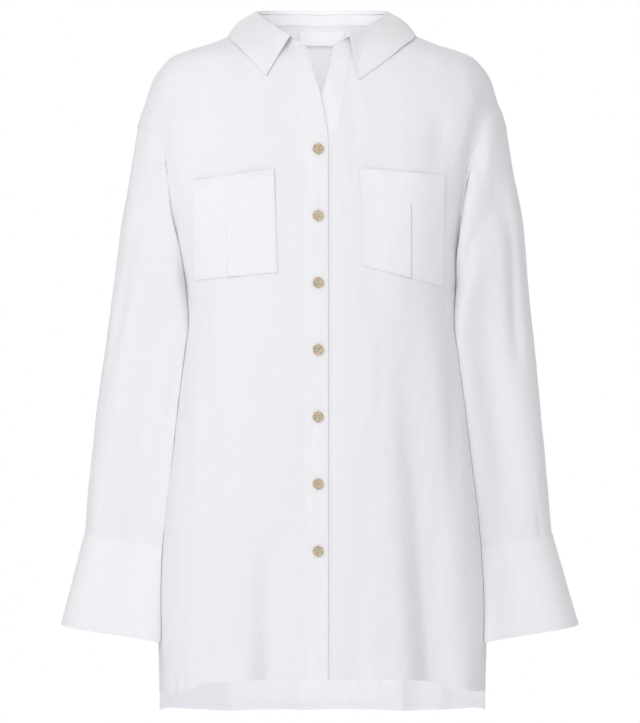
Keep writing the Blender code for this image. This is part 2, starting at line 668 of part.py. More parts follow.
def make_yoke():
    """The yoke, over both shoulders and down to its seam across the back."""
    _, _, back = neckline()
    front_holes = {side: armhole(FRONT, side) for side in (-1, 1)}
    back_holes = {side: armhole(BACK, side) for side in (-1, 1)}
    seam = back_yoke_seam({side: back_holes[side][YOKE_BACK_PARTS] for side in (-1, 1)})
    left = np.vstack([front_holes[-1][YOKE_FRONT_PARTS:0:-1],
                      back_holes[-1][:YOKE_BACK_PARTS]])
    right = np.vstack([back_holes[1][YOKE_BACK_PARTS - 1::-1],
                       front_holes[1][1:YOKE_FRONT_PARTS + 1]])
    outer = np.vstack([left, seam, right])
    outer_points = body_point(outer[:, 0], outer[:, 1])
    share = np.linspace(0.0, 1.0, YOKE_DOWN + 1)[:, None, None]
    plan = (1.0 - share) * back[None, :, :2] + share * outer_points[None, :, :2]
    points = on_shoulder(plan)
    points[-1] = outer_points
    angle = plan_angle(points[..., 0], points[..., 1], points[..., 2])
    folded = cloth_point(angle, points[..., 2])
    folded = points + (folded - body_point(angle, points[..., 2]))
    points = trimmed(folded, ("top", "bottom", "first", "last"))
    return grid_object("yoke", points, CLOTH, linen, outward=Vector((0, 0, 1)))


def sleeve_rows(rows, side):
    """A table of rings for one side: outer and inner x and height, half depth, middle y."""
    table = np.array(rows) * MM
    outer_x = table[:, 1] if side < 0 else table[:, 2]
    return np.column_stack([outer_x, table[:, 0], table[:, 3:]])


def sleeve_frame(row):
    """The middle, the way out, the half width and the half depth of one sleeve ring."""
    outer = np.array([row[0], 0.0, row[1]])
    inner = np.array([row[2], 0.0, row[3]])
    middle = (outer + inner) / 2.0 + (0.0, row[5], 0.0)
    half = np.linalg.norm(outer - inner) / 2.0
    return middle, (outer - inner) / (2.0 * half), half, row[4]


def round_ring():
    """The way out and the way forward of each point of a round ring, from its outer point on."""
    angles = np.linspace(0.0, 2.0 * math.pi, 2 * ARMHOLE_PARTS + 1)
    power = 2.0 / SLEEVE_ROUNDNESS
    way_out = np.sign(np.cos(angles)) * np.abs(np.cos(angles)) ** power
    forward = np.sign(np.sin(angles)) * np.abs(np.sin(angles)) ** power
    return angles, way_out, forward


def clear_of_body(ring, clearance):
    """A ring of a sleeve or a cuff, moved out until it clears the cloth of the body."""
    face = np.where(ring[:, 1] < 0.0, FRONT, BACK)
    return pushed_out(ring, clearance - fold_depth(ring[:, 0], ring[:, 2], face))


def sleeve_fold(side, share, angle):
    """How far the folds of a sleeve draw its cloth in."""
    total = np.zeros(np.shape(angle))
    for fold_side, start, end, angle_start, angle_end, spread, depth in SLEEVE_FOLDS:
        if fold_side != side or not start < share < end:
            continue
        along = (share - start) / (end - start)
        middle = angle_start + (angle_end - angle_start) * along
        across = (np.degrees(angle) - middle) / spread
        total = total + depth * MM * math.sin(math.pi * along) * np.exp(-(across**2))
    return total


def make_sleeve(side, name):
    """A sleeve, from the armhole to the cuff seam."""
    front, back = armhole(FRONT, side), armhole(BACK, side)
    loop = np.vstack([front, back[::-1][1:]])
    hole = cloth_point(loop[:, 0], loop[:, 1]) * (side, 1.0, 1.0) + (ARMHOLE_GAP, 0.0, 0.0)
    table = sleeve_rows(SLEEVE_ROWS, side)
    middle, way, half, depth = sleeve_frame(table[0])
    local_out = (hole - middle) @ way / half
    local_front = -(hole[:, 1] - middle[1]) / depth
    aside = hole - middle - np.outer((hole - middle) @ way, way)
    aside[:, 1] = 0.0
    lengths = np.r_[0.0, np.cumsum(np.linalg.norm(np.diff(table[:, :4], axis=0), axis=1))]
    read = smooth_rows(np.column_stack([lengths, table]))
    angles, way_out, forward = round_ring()
    rings = []
    for share in np.linspace(0.0, 1.0, SLEEVE_RINGS + 1):
        middle, way, half, depth = sleeve_frame(read(share * lengths[-1]))
        turn = smooth_step(share / SLEEVE_ROUND_AT)
        out = local_out + (way_out - local_out) * turn
        ahead = local_front + (forward - local_front) * turn
        flatten = 1.0 - smooth_step(share / SLEEVE_FLAT_AT)
        ring = middle + np.outer(out * half, way) + aside * flatten
        ring[:, 1] = middle[1] - ahead * depth
        towards = middle - ring
        towards = towards / np.linalg.norm(towards, axis=1, keepdims=True)
        ring = (ring + towards * sleeve_fold(side, share, angles)[:, None]) * (side, 1.0, 1.0)
        if share > 0.0:
            ring = clear_of_body(ring, SLEEVE_CLEARANCE * smooth_step(share / SLEEVE_LEAVES))
        rings.append(ring)
    grid = trimmed(np.array(rings), ("top", "bottom"))
    return grid_object(name, grid, CLOTH, linen, closed=True)


def make_cuff(side, name):
    """A cuff: a doubled band that flares below the sleeve."""
    table = sleeve_rows(CUFF_ROWS, side)
    read = smooth_rows(np.column_stack([np.linspace(0.0, 1.0, len(table)), table]))
    _, way_out, forward = round_ring()
    rings = []
    for share in np.linspace(0.0, 1.0, CUFF_RINGS + 1):
        middle, way, half, depth = sleeve_frame(read(share))
        ring = middle + np.outer(way_out * half, way)
        ring[:, 1] = middle[1] - forward * depth
        rings.append(clear_of_body(ring * (side, 1.0, 1.0), SLEEVE_CLEARANCE))
    grid = trimmed(np.array(rings), ("top",))
    return grid_object(name, grid, DOUBLE_CLOTH, linen_double, closed=True)


def collar_curve(side, base):
    """Fold and edge points of half the collar over its base, from the back to the front."""
    rows = np.array(COLLAR_ROWS[side])
    rows = np.column_stack([rows[:, 0], rows[:, 1:] * MM])
    lengths = np.r_[0.0, np.cumsum(np.linalg.norm(np.diff(base, axis=0), axis=1))]
    values = smooth_rows(rows)(lengths / lengths[-1])
    return values[:, :3] * (side, 1.0, 1.0), values[:, 3:] * (side, 1.0, 1.0)


def whole_collar():
    """Base, fold and edge of the collar from the -X front end to the +X front end."""
    edges, fronts, back = neckline()
    halves = []
    for side in (-1, 1):
        half = back[len(back) // 2:] if side > 0 else back[len(back) // 2::-1]
        free_x, free_z = edges[side][0]
        free_y = body_point(body_angle(free_x, np.array(free_z), FRONT), np.array(free_z))[1]
        end = np.linspace(fronts[side][0], (free_x, free_y), STAND_END_PARTS + 1)[1:]
        line = np.vstack([half, fronts[side][::-1][1:], end])
        base = on_shoulder(line)
        halves.append((base, *collar_curve(side, base)))
    return [np.vstack([left[::-1], right[1:]]) for left, right in zip(*halves)]


def make_stand():
    """The collar stand: a doubled band that stands up from the neckline."""
    base, fold, _ = whole_collar()
    foot = base + (0.0, 0.0, SEAM_GAP)
    top = base + (fold - base) * STAND_SHARE
    middle = (foot + top) / 2.0
    grid = np.stack([foot, middle, top])
    return grid_object("collar_stand", grid, DOUBLE_CLOTH, linen_double)


def make_fall():
    """The collar fall: it rises to the fold, rolls over and lies on the shoulders."""
    base, fold, edge = whole_collar()
    start = base + (fold - base) * FALL_START
    out = edge - fold
    out[:, 2] = 0.0
    out = out / np.linalg.norm(out, axis=1, keepdims=True)
    roll = fold + out * FOLD_ROLL - (0.0, 0.0, FOLD_DROP)
    rows = [start, fold, roll]
    for share in FALL_SHARES:
        swell = FALL_BULGE * math.sin(math.pi * share)
        row = roll + (edge - roll) * share + out * swell + (0.0, 0.0, swell)
        rows.append(pushed_out(row, FALL_CLEARANCE))
    grid = np.stack(rows)[:, ::-1]
    piece = grid_object("collar_fall", grid, DOUBLE_CLOTH, linen_double,
                        outward=Vector((0, 0, 1)))
    piece.modifiers["wall"].offset = 1.0
    return piece


def pushed_out(points, clearance):
    """Points moved straight out until they clear the body form by a distance, or one each."""
    step = 0.1 * MM
    for _ in range(4):
        share = outside(*points.T)
        slopes = [outside(*(points + shift).T) - share for shift in np.eye(3) * step]
        slope = np.stack(slopes, axis=1) / step
        steepness = np.linalg.norm(slope, axis=1)
        short = np.maximum(0.0, clearance - (share - 1.0) / steepness)
        points = points + slope / steepness[:, None] * short[:, None]
    return points


def laid_on(panel, x, height):
    """How far in the cloth of a panel lies at some points, seen from the front."""
    tree = BVHTree.FromObject(panel, bpy.context.evaluated_depsgraph_get())
    depths = np.zeros(np.shape(x))
    for place in np.ndindex(np.shape(x)):
        start = Vector((float(x[place]), -1.0, float(height[place])))
        hit = tree.ray_cast(start, Vector((0.0, 1.0, 0.0)))[0]
        depths[place] = hit.y
    return depths


def make_pocket(side, name, panel):
    """A patch pocket with a deep top hem and a knife pleat, on the cloth of its front."""
    corners = np.array(POCKETS[side]) * MM
    parts = np.linspace(0.0, 1.0, POCKET_PARTS + 1)
    pleat_columns = (PLEAT_AT - POCKET_STEP, PLEAT_AT, PLEAT_AT + PLEAT_WIDTH)
    across = np.sort(np.concatenate([parts, pleat_columns]))
    down = np.sort(np.concatenate([parts, (POCKET_HEM, POCKET_HEM + POCKET_STEP)]))
    u, v = np.meshgrid(across, down)
    top = corners[0] + (corners[1] - corners[0]) * u[..., None]
    low = corners[3] + (corners[2] - corners[3]) * u[..., None]
    flat = top + (low - top) * v[..., None]
    raised = POCKET_LAID_ON + CLOTH + POCKET_HEM_RAISE * (v <= POCKET_HEM)
    inside_pleat = (u >= PLEAT_AT) & (u <= PLEAT_AT + PLEAT_WIDTH) & (v > POCKET_HEM)
    slope = 1.0 - (u - PLEAT_AT) / PLEAT_WIDTH
    raised = raised + np.where(inside_pleat, PLEAT_RAISE * slope, 0.0)
    angle = body_angle(flat[..., 0], flat[..., 1], FRONT)
    normal = body_normal(angle, flat[..., 1])
    depth = laid_on(panel, flat[..., 0], flat[..., 1])
    points = np.stack([flat[..., 0], depth, flat[..., 1]], axis=-1) + normal * raised[..., None]
    return grid_object(name, points, CLOTH, linen_double, outward=Vector((0, -1, 0)))


def make_label():
    """A bare woven label, sewn to the inside of the yoke below the neck seam."""
    x = np.linspace(-LABEL_HALF_WIDTH, LABEL_HALF_WIDTH, LABEL_ACROSS + 1)
    heights = np.linspace(LABEL_TOP, LABEL_LOW, LABEL_DOWN + 1)
    grid_x, grid_z = np.meshgrid(x, heights)
    angle = body_angle(grid_x, grid_z, BACK)
    hangs_off = np.linspace(0.0, LABEL_HANGS_OFF, LABEL_DOWN + 1)[:, None] + 0.0 * grid_x
    points = cloth_point(angle, grid_z, -(CLOTH + LABEL_LAID_ON + LABEL_WALL + hangs_off))
    return grid_object("neck_label", points, LABEL_WALL, label_tape, outward=Vector((0, -1, 0)))


def make_button_blank():
    """A flat button with a raised rim, turned about its own axis."""
    profile = (
        # radius, height, from the middle of the face round the edge to the middle of the back
        (0.0, BUTTON_THICKNESS - BUTTON_DISH),
        (BUTTON_RADIUS - BUTTON_RIM, BUTTON_THICKNESS - BUTTON_DISH),
        (BUTTON_RADIUS - BUTTON_EDGE, BUTTON_THICKNESS),
        (BUTTON_RADIUS, BUTTON_THICKNESS - BUTTON_EDGE),
        (BUTTON_RADIUS, BUTTON_EDGE),
        (BUTTON_RADIUS - BUTTON_EDGE, 0.0),
        (0.0, 0.0),
    )
    mesh = bpy.data.meshes.new("button_profile")
    ends = range(len(profile) - 1)
    mesh.from_pydata([(x, 0.0, z) for x, z in profile], [(i, i + 1) for i in ends], [])
    blank = add_object("button_blank", mesh, button_shell)
    turn = blank.modifiers.new("turn", "SCREW")
    turn.steps = turn.render_steps = BUTTON_SIDES
    turn.use_merge_vertices = True
    turn.merge_threshold = 0.01 * MM
    cut = blank.modifiers.new("holes", "BOOLEAN")
    cut.operation = "DIFFERENCE"
    cut.object = make_hole_cutter()
    return blank


def make_hole_cutter():
    """Four pins that pierce a button."""
    work = bmesh.new()
    for pin in range(4):
        angle = math.pi / 4.0 + pin * math.pi / 2.0
        place = Matrix.Translation((BUTTON_HOLE_OFFSET * math.cos(angle),
                                    BUTTON_HOLE_OFFSET * math.sin(angle), 0.0))
        bmesh.ops.create_cone(work, cap_ends=True, segments=BUTTON_HOLE_SIDES,
                              radius1=BUTTON_HOLE_RADIUS, radius2=BUTTON_HOLE_RADIUS,
                              depth=4.0 * BUTTON_THICKNESS, matrix=place)
    mesh = bpy.data.meshes.new("button_holes")
    work.to_mesh(mesh)
    work.free()
    cutter = bpy.data.objects.new("button_holes", mesh)
    cutters.objects.link(cutter)
    cutter.hide_render = True
    cutter.display_type = "WIRE"
    return cutter


def make_buttons():
    """The buttons, on the placket that lies on top, each facing forward."""
    blank = make_button_blank()
    graph = bpy.context.evaluated_depsgraph_get()
    mesh = bpy.data.meshes.new_from_object(blank.evaluated_get(graph))
    bpy.data.objects.remove(blank)
    turns = np.linspace(0.0, 2.0 * math.pi, BUTTON_SIDES + 1)
    for number in range(BUTTON_COUNT):
        height = BUTTON_TOP_Z - number * BUTTON_PITCH
        rim_heights = height + BUTTON_RADIUS * np.sin(turns)
        angle = body_angle(BUTTON_X + BUTTON_RADIUS * np.cos(turns), rim_heights, FRONT)
        under = cloth_point(angle, rim_heights, PLACKET_RAISE + LAID_ON)
        button = bpy.data.objects.new(f"button_{number + 1}", mesh)
        button.location = (BUTTON_X, float(under[:, 1].min()), height)
        button.rotation_euler = (math.pi / 2.0, 0.0, 0.0)
        shirt.objects.link(button)


for old in list(bpy.data.objects):
    bpy.data.objects.remove(old)
shirt = bpy.data.collections.new("linen_shirt")
cutters = bpy.data.collections.new("cutters")
for collection in (shirt, cutters):
    bpy.context.scene.collection.children.link(collection)

linen = new_material("linen", LINEN, 0.9)
linen_double = new_material("linen_double", LINEN_DOUBLE, 0.88)
label_tape = new_material("label_tape", LABEL_TAPE, 0.7)
button_shell = new_material("button_shell", BUTTON_COLOUR, 0.45)

front_over = make_front(-1, "front_over")
front_under = make_front(1, "front_under")
make_placket(-1, "placket_over")
make_placket(1, "placket_under")
make_back()
make_yoke()
make_sleeve(-1, "sleeve_left")
make_sleeve(1, "sleeve_right")
make_cuff(-1, "cuff_left")
make_cuff(1, "cuff_right")
make_stand()
make_fall()
make_pocket(-1, "pocket_left", front_over)
make_pocket(1, "pocket_right", front_under)
make_label()
make_buttons()
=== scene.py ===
import math

import bpy
import numpy as np
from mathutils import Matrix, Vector, noise
from mathutils.bvhtree import BVHTree


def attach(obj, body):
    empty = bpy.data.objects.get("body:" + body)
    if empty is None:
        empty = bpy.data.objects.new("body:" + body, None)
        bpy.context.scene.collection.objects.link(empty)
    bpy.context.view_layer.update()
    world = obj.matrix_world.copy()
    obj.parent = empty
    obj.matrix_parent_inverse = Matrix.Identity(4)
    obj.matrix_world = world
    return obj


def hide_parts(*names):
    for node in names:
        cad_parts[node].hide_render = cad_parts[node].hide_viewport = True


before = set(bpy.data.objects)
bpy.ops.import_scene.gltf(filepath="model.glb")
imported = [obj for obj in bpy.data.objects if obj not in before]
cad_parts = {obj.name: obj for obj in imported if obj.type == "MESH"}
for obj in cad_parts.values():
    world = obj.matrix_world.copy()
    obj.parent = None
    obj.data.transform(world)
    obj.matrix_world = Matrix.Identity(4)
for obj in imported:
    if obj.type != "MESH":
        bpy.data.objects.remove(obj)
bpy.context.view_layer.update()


# The worn form. The shirt is filled out as if someone had it on, so every body panel lies on one
# hollow form, made of level sections like rounded rectangles that change with the height.
# Folds draw the cloth in from it as soft troughs, and creases and slack mark it in smaller sizes.
MM = 0.001
FRONT, BACK = -1, 1
ROUNDNESS = 2.8
BODY_ROWS = (
    # height, half width, front depth, back depth (mm)
    (24.0, 60.0, 38.0, 56.0),
    (20.5, 70.0, 42.0, 59.5),
    (13.0, 84.0, 48.0, 66.0),
    (3.0, 108.0, 58.0, 74.0),
    (-5.0, 126.5, 66.0, 80.0),
    (-15.0, 157.5, 75.0, 87.0),
    (-22.0, 174.0, 80.0, 91.0),
    (-32.0, 184.0, 86.0, 97.0),
    (-48.0, 194.5, 93.0, 105.0),
    (-75.0, 203.0, 101.0, 115.0),
    (-100.0, 211.5, 107.0, 121.0),
    (-140.0, 211.0, 113.0, 127.0),
    (-185.0, 198.0, 117.0, 130.0),
    (-235.0, 177.0, 118.0, 130.0),
    (-262.0, 166.5, 118.0, 129.0),
    (-287.0, 160.5, 118.0, 127.0),
    (-320.0, 159.0, 118.0, 124.0),
    (-360.0, 162.0, 118.0, 122.0),
    (-427.0, 169.5, 119.0, 120.0),
    (-495.0, 176.0, 120.0, 120.0),
    (-555.0, 182.0, 121.0, 122.0),
    (-645.0, 189.0, 123.0, 126.0),
    (-800.0, 186.5, 126.0, 131.0),
)
FOLD_ROWS = (
    # side, top x, top height, low x, low height, spread towards -X and +X,
    # depth at the top, the middle and the low end (mm)
    (FRONT, 86.0, -280.0, 107.0, -510.0, 18.0, 36.0, 0.0, 6.0, 12.0),
    (FRONT, 107.0, -510.0, 126.0, -760.0, 18.0, 36.0, 12.0, 19.0, 26.0),
    (FRONT, 145.0, -270.0, 156.0, -560.0, 9.0, 16.0, 0.0, 6.0, 0.0),
    (FRONT, -128.0, -300.0, -131.0, -760.0, 13.0, 17.0, 0.0, 5.0, 2.0),
    (FRONT, -60.0, -540.0, -58.0, -760.0, 17.0, 24.0, 0.0, 10.0, 20.0),
    (FRONT, 44.0, -560.0, 40.0, -760.0, 14.0, 14.0, 0.0, 1.5, 3.0),
    (FRONT, 195.0, -45.0, 170.0, -150.0, 13.0, 11.0, 0.0, 10.0, 14.0),
    (FRONT, 170.0, -150.0, 157.0, -310.0, 13.0, 11.0, 14.0, 12.0, 0.0),
    (FRONT, 172.0, -80.0, 160.0, -200.0, 36.0, 14.0, 0.0, 9.0, 14.0),
    (FRONT, 160.0, -200.0, 158.0, -360.0, 36.0, 14.0, 14.0, 10.0, 0.0),
    (FRONT, 132.0, -75.0, 131.0, -175.0, 11.0, 16.0, 0.0, 4.0, 0.0),
    (FRONT, -187.0, -540.0, -187.0, -800.0, 40.0, 40.0, 0.0, 3.5, 4.5),
    (FRONT, -190.0, -70.0, -176.0, -160.0, 9.0, 12.0, 0.0, 2.5, 3.0),
    (FRONT, -176.0, -160.0, -163.0, -270.0, 9.0, 12.0, 3.0, 2.0, 0.0),
    (BACK, -187.0, -540.0, -187.0, -800.0, 40.0, 40.0, 0.0, 3.5, 4.5),
    (BACK, -96.0, -190.0, -110.0, -800.0, 24.0, 16.0, 0.0, 8.0, 13.0),
    (BACK, -28.0, -330.0, -22.0, -800.0, 13.0, 19.0, 0.0, 4.0, 7.0),
    (BACK, 62.0, -170.0, 88.0, -800.0, 15.0, 25.0, 0.0, 9.0, 15.0),
    (BACK, 128.0, -300.0, 138.0, -800.0, 12.0, 14.0, 0.0, 5.0, 8.0),
    (BACK, 186.0, -115.0, 164.0, -285.0, 12.0, 12.0, 0.0, 8.0, 0.0),
    (BACK, -186.0, -115.0, -164.0, -285.0, 12.0, 12.0, 0.0, 8.0, 0.0),
)
CREASE_ROWS = (
    # side, first x, first height, last x, last height, spread, depth (mm), a ridge if negative
    (FRONT, -170.0, -722.0, -169.0, -752.0, 3.0, 2.2),
    (FRONT, -157.0, -716.0, -158.0, -748.0, 3.0, 2.0),
    (FRONT, -131.0, -684.0, -129.0, -716.0, 4.0, 1.6),
    (FRONT, -96.0, -640.0, -92.0, -728.0, 9.0, 1.6),
    (FRONT, -158.0, -420.0, -150.0, -560.0, 9.0, 1.3),
    (FRONT, -104.0, -300.0, -108.0, -430.0, 10.0, 1.1),
    (FRONT, -60.0, -310.0, -58.0, -420.0, 9.0, 0.8),
    (FRONT, -46.0, -150.0, -58.0, -60.0, 11.0, 0.9),
    (FRONT, -160.0, -120.0, -150.0, -170.0, 7.0, 1.0),
    (FRONT, 62.0, -300.0, 66.0, -470.0, 9.0, 1.0),
    (FRONT, 128.0, -420.0, 134.0, -640.0, 10.0, 1.4),
    (FRONT, 30.0, -600.0, 26.0, -726.0, 8.0, 0.9),
    (FRONT, 142.0, -285.0, 152.0, -300.0, 6.0, 1.0),
    (FRONT, 98.0, -110.0, 70.0, -60.0, 10.0, 0.9),
    (FRONT, 150.0, -120.0, 120.0, -300.0, 8.0, 0.9),
    (BACK, 93.0, -700.0, 93.0, -850.0, 3.5, 2.2),
    (BACK, -150.0, -200.0, -120.0, -360.0, 11.0, 1.8),
    (BACK, -60.0, -130.0, -66.0, -330.0, 12.0, 1.5),
    (BACK, 10.0, -120.0, 4.0, -300.0, 12.0, 1.4),
    (BACK, 110.0, -150.0, 104.0, -260.0, 10.0, 1.5),
    (BACK, 36.0, -480.0, 42.0, -740.0, 12.0, 1.8),
    (BACK, -150.0, -500.0, -156.0, -760.0, 11.0, 1.6),
    (BACK, -62.0, -560.0, -66.0, -775.0, 9.0, 1.4),
    (BACK, 160.0, -420.0, 164.0, -640.0, 9.0, 1.3),
)
# a crease wanders by a share of its spread, and one of its flanks is steeper than the other
CREASE_WANDERS, CREASE_BENDS = 0.4, 5.0
CREASE_STEEP, CREASE_SOFT = 0.6, 1.25
# how deep the slack and the small rumples go, and their size across and down the cloth
SLACK_DEPTH, SLACK_ACROSS, SLACK_DOWN = 1.5 * MM, 26.0 * MM, 120.0 * MM
RUMPLE_DEPTH, RUMPLE_ACROSS, RUMPLE_DOWN = 0.42 * MM, 9.0 * MM, 22.0 * MM
RUMPLE_SHIFT = Vector((7.3, 1.9, 4.1))
# the share of a fold's depth that also draws in the sides
FOLD_ASIDE = 0.25
SHOULDERS_LOW = -140.0
HEIGHT_ROUNDS = 40


def smooth_rows(rows):
    """Reads every column of a table against its first one, on a smooth curve with no overshoot."""
    data = np.array(rows, float)
    data = data[np.argsort(data[:, 0])]
    at, values = data[:, 0], data[:, 1:]
    slope = np.diff(values, axis=0) / np.diff(at)[:, None]
    same = slope[1:] * slope[:-1] > 0.0
    mean = 2.0 * slope[1:] * slope[:-1] / np.where(same, slope[1:] + slope[:-1], 1.0)
    tangent = np.vstack([slope[:1], np.where(same, mean, 0.0), slope[-1:]])

    def read(x):
        x = np.clip(np.asarray(x, float), at[0], at[-1])
        i = np.clip(np.searchsorted(at, x) - 1, 0, len(at) - 2)
        width = (at[i + 1] - at[i])[..., None]
        t = (x - at[i])[..., None] / width
        rise = 3.0 * t**2 - 2.0 * t**3
        ends = values[i] * (1.0 - rise) + values[i + 1] * rise
        eases = t * (1.0 - t) ** 2 * tangent[i] + t**2 * (t - 1.0) * tangent[i + 1]
        return ends + width * eases

    return read


def unit(vectors):
    """The directions of some vectors, with length 1."""
    return vectors / np.linalg.norm(vectors, axis=-1, keepdims=True)


def smooth_step(t):
    """A soft change from 0 to 1 while t goes from 0 to 1."""
    t = np.clip(t, 0.0, 1.0)
    return t * t * (3.0 - 2.0 * t)


body_sizes = smooth_rows(np.array(BODY_ROWS) * MM)


def body_point(angle, height):
    """A point of the body form; angle 0 is the middle front and a quarter turn is the side."""
    sizes = body_sizes(height)
    sine, cosine = np.sin(angle), np.cos(angle)
    power = 2.0 / ROUNDNESS
    x = sizes[..., 0] * np.sign(sine) * np.abs(sine) ** power
    y = np.where(cosine >= 0.0, -sizes[..., 1], sizes[..., 2]) * np.abs(cosine) ** power
    return np.stack([x, y, np.broadcast_to(height, x.shape)], axis=-1)


def body_angle(x, height, side):
    """The angle of the point at x on the front or the back of the body form."""
    share = np.clip(np.abs(x) / body_sizes(height)[..., 0], 0.0, 1.0)
    angle = np.arcsin(share ** (ROUNDNESS / 2.0))
    if side == BACK:
        angle = math.pi - angle
    return np.sign(x) * angle if side == FRONT else np.where(x < 0.0, -angle, angle)


def outside(x, y, height):
    """How far out a point lies: 1 on the body form, less inside it."""
    sizes = body_sizes(height)
    depth = np.where(y < 0.0, sizes[..., 1], sizes[..., 2])
    total = (np.abs(x) / sizes[..., 0]) ** ROUNDNESS + (np.abs(y) / depth) ** ROUNDNESS
    return total ** (1.0 / ROUNDNESS)


def on_shoulder(plan):
    """Points of the body form over points of the plan."""
    x, y = plan[..., 0], plan[..., 1]
    low = np.full(np.shape(x), SHOULDERS_LOW * MM)
    high = np.full(np.shape(x), BODY_ROWS[0][0] * MM)
    for _ in range(HEIGHT_ROUNDS):
        middle = (low + high) / 2.0
        over = outside(x, y, middle) < 1.0
        low, high = np.where(over, middle, low), np.where(over, high, middle)
    return np.concatenate([plan, ((low + high) / 2.0)[..., None]], axis=-1)


def plan_angle(x, y, height):
    """The angle on the body form of a point that lies on it."""
    sizes = body_sizes(height)
    depth = np.where(y < 0.0, sizes[..., 1], sizes[..., 2])
    sine = np.clip(np.abs(x) / sizes[..., 0], 0.0, 1.0) ** (ROUNDNESS / 2.0)
    cosine = np.clip(np.abs(y) / depth, 0.0, 1.0) ** (ROUNDNESS / 2.0)
    angle = np.arctan2(sine, np.where(y < 0.0, cosine, -cosine))
    return np.where(x < 0.0, -angle, angle)


def fold_depth(x, height, side):
    """How far the large folds draw the cloth in at a point."""
    total = np.zeros(np.shape(x))
    for fold_side, top_x, top_z, low_x, low_z, before, after, *depths in FOLD_ROWS:
        share = (height / MM - top_z) / (low_z - top_z)
        inside = (share > 0.0) & (share <= 1.0) & (side == fold_side)
        share = np.clip(share, 0.0, 1.0)
        middle = top_x + (low_x - top_x) * share
        upper = depths[0] + (depths[1] - depths[0]) * smooth_step(2.0 * share)
        lower = (depths[2] - depths[1]) * smooth_step(2.0 * share - 1.0)
        aside = x / MM - middle
        across = aside / np.where(aside < 0.0, before, after)
        total = total + np.where(inside, (upper + lower) * np.exp(-(across**2)), 0.0) * MM
    return total


def crease_depth(x, height, side):
    """How far the smaller creases draw it in: each fades at its ends and is steeper on one side."""
    total = np.zeros(np.shape(x))
    for crease_side, x0, z0, x1, z1, spread, depth in CREASE_ROWS:
        length = math.hypot(x1 - x0, z1 - z0)
        way_x, way_z = (x1 - x0) / length, (z1 - z0) / length
        off_x, off_z = x / MM - x0, height / MM - z0
        share = np.clip((off_x * way_x + off_z * way_z) / length, 0.0, 1.0)
        wander = CREASE_WANDERS * spread * np.sin(CREASE_BENDS * share)
        aside = off_x * way_z - off_z * way_x + wander
        across = aside / (spread * np.where(aside > 0.0, CREASE_STEEP, CREASE_SOFT))
        here = np.where(side == crease_side, depth * np.sin(math.pi * share), 0.0)
        total = total + here * np.exp(-(across**2)) * MM
    return total


def slack(points, amount=1.0):
    """The slight unevenness of linen that hangs, longer down the cloth than across it."""
    flat = points.reshape(-1, 3)
    broad = flat / (SLACK_ACROSS, SLACK_ACROSS, SLACK_DOWN)
    fine = flat / (RUMPLE_ACROSS, RUMPLE_ACROSS, RUMPLE_DOWN)
    broad_part = [noise.noise(Vector(place)) for place in broad]
    fine_part = [noise.noise(Vector(place) + RUMPLE_SHIFT) for place in fine]
    total = np.array(broad_part) * SLACK_DEPTH + np.array(fine_part) * RUMPLE_DEPTH
    return total.reshape(points.shape[:-1]) * amount


def body_normal(angle, height):
    """The level direction straight out of the body form."""
    sizes = body_sizes(height)
    power = 2.0 - 2.0 / ROUNDNESS
    sine, cosine = np.sin(angle), np.cos(angle)
    depth = np.where(cosine >= 0.0, sizes[..., 1], sizes[..., 2])
    x = np.sign(sine) * np.abs(sine) ** power / sizes[..., 0]
    y = -np.sign(cosine) * np.abs(cosine) ** power / depth
    return unit(np.stack([x, y, np.zeros_like(x)], axis=-1))


def cloth_point(angle, height, out=0.0, folds=1.0):
    """A point of the cloth, with its folds, creases and slack, moved out by a distance. The folds
    go mostly straight in from the front or the back, and hardly draw in the sides."""
    points = body_point(angle, height)
    side = np.where(np.cos(angle) >= 0.0, FRONT, BACK)
    normal = body_normal(angle, height)
    folded = folds * fold_depth(points[..., 0], height, side)[..., None] * (FOLD_ASIDE, 1.0, 1.0)
    amount = out - crease_depth(points[..., 0], height, side) - slack(points)
    return points + normal * (amount[..., None] - folded)


# The linen. One layer is an open plain weave of uneven yarn, white with a touch of lavender, soft
# and matt. Collar, cuffs, plackets and pockets have two layers, so they look whiter and denser.
# The weave follows each panel's own map, which is its flat length across and down in metres.
LINEN_WALL, DOUBLE_WALL = 0.9 * MM, 1.5 * MM
# the darker colours are reached partly by the weave's painted shade at the yarns' edges, between them
# and under crossings, and partly by the slubs' own darker tone
LINEN_LIGHT, LINEN_SHADE = (0.835, 0.835, 0.865), (0.79, 0.79, 0.825)
DOUBLE_LIGHT, DOUBLE_SHADE = (0.86, 0.86, 0.885), (0.81, 0.81, 0.84)
LINEN_FINISH = {"Roughness": 0.9, "Specular IOR Level": 0.25, "Sheen Weight": 0.12,
                "Sheen Roughness": 0.5}
LINEN_RELIEF = {"Strength": 0.5, "Distance": 0.15 * MM}
LINEN_SLUB, DOUBLE_SLUB = 0.6, 0.45
YARNS_PER_METRE, YARN_WANDERS = 1250.0, 0.8
WARP_STREAKS, WEFT_STREAKS = (620.0, 22.0, 1.0), (20.0, 560.0, 1.0)
SLUB_CONTRAST, SLUB_SHIFT, SLUB_RELIEF = 3.2, 1.1, 0.6


def feed(tree, node, inputs):
    """Sets each named input of a node to a value, or links it to an output."""
    for name, value in inputs.items():
        if isinstance(value, bpy.types.NodeSocket):
            tree.links.new(value, node.inputs[name])
        else:
            node.inputs[name].default_value = value
    return node


def add_node(tree, kind, inputs, **settings):
    """A new node of a tree, with its settings and its inputs."""
    node = tree.nodes.new(kind)
    for name, value in settings.items():
        setattr(node, name, value)
    return feed(tree, node, inputs)


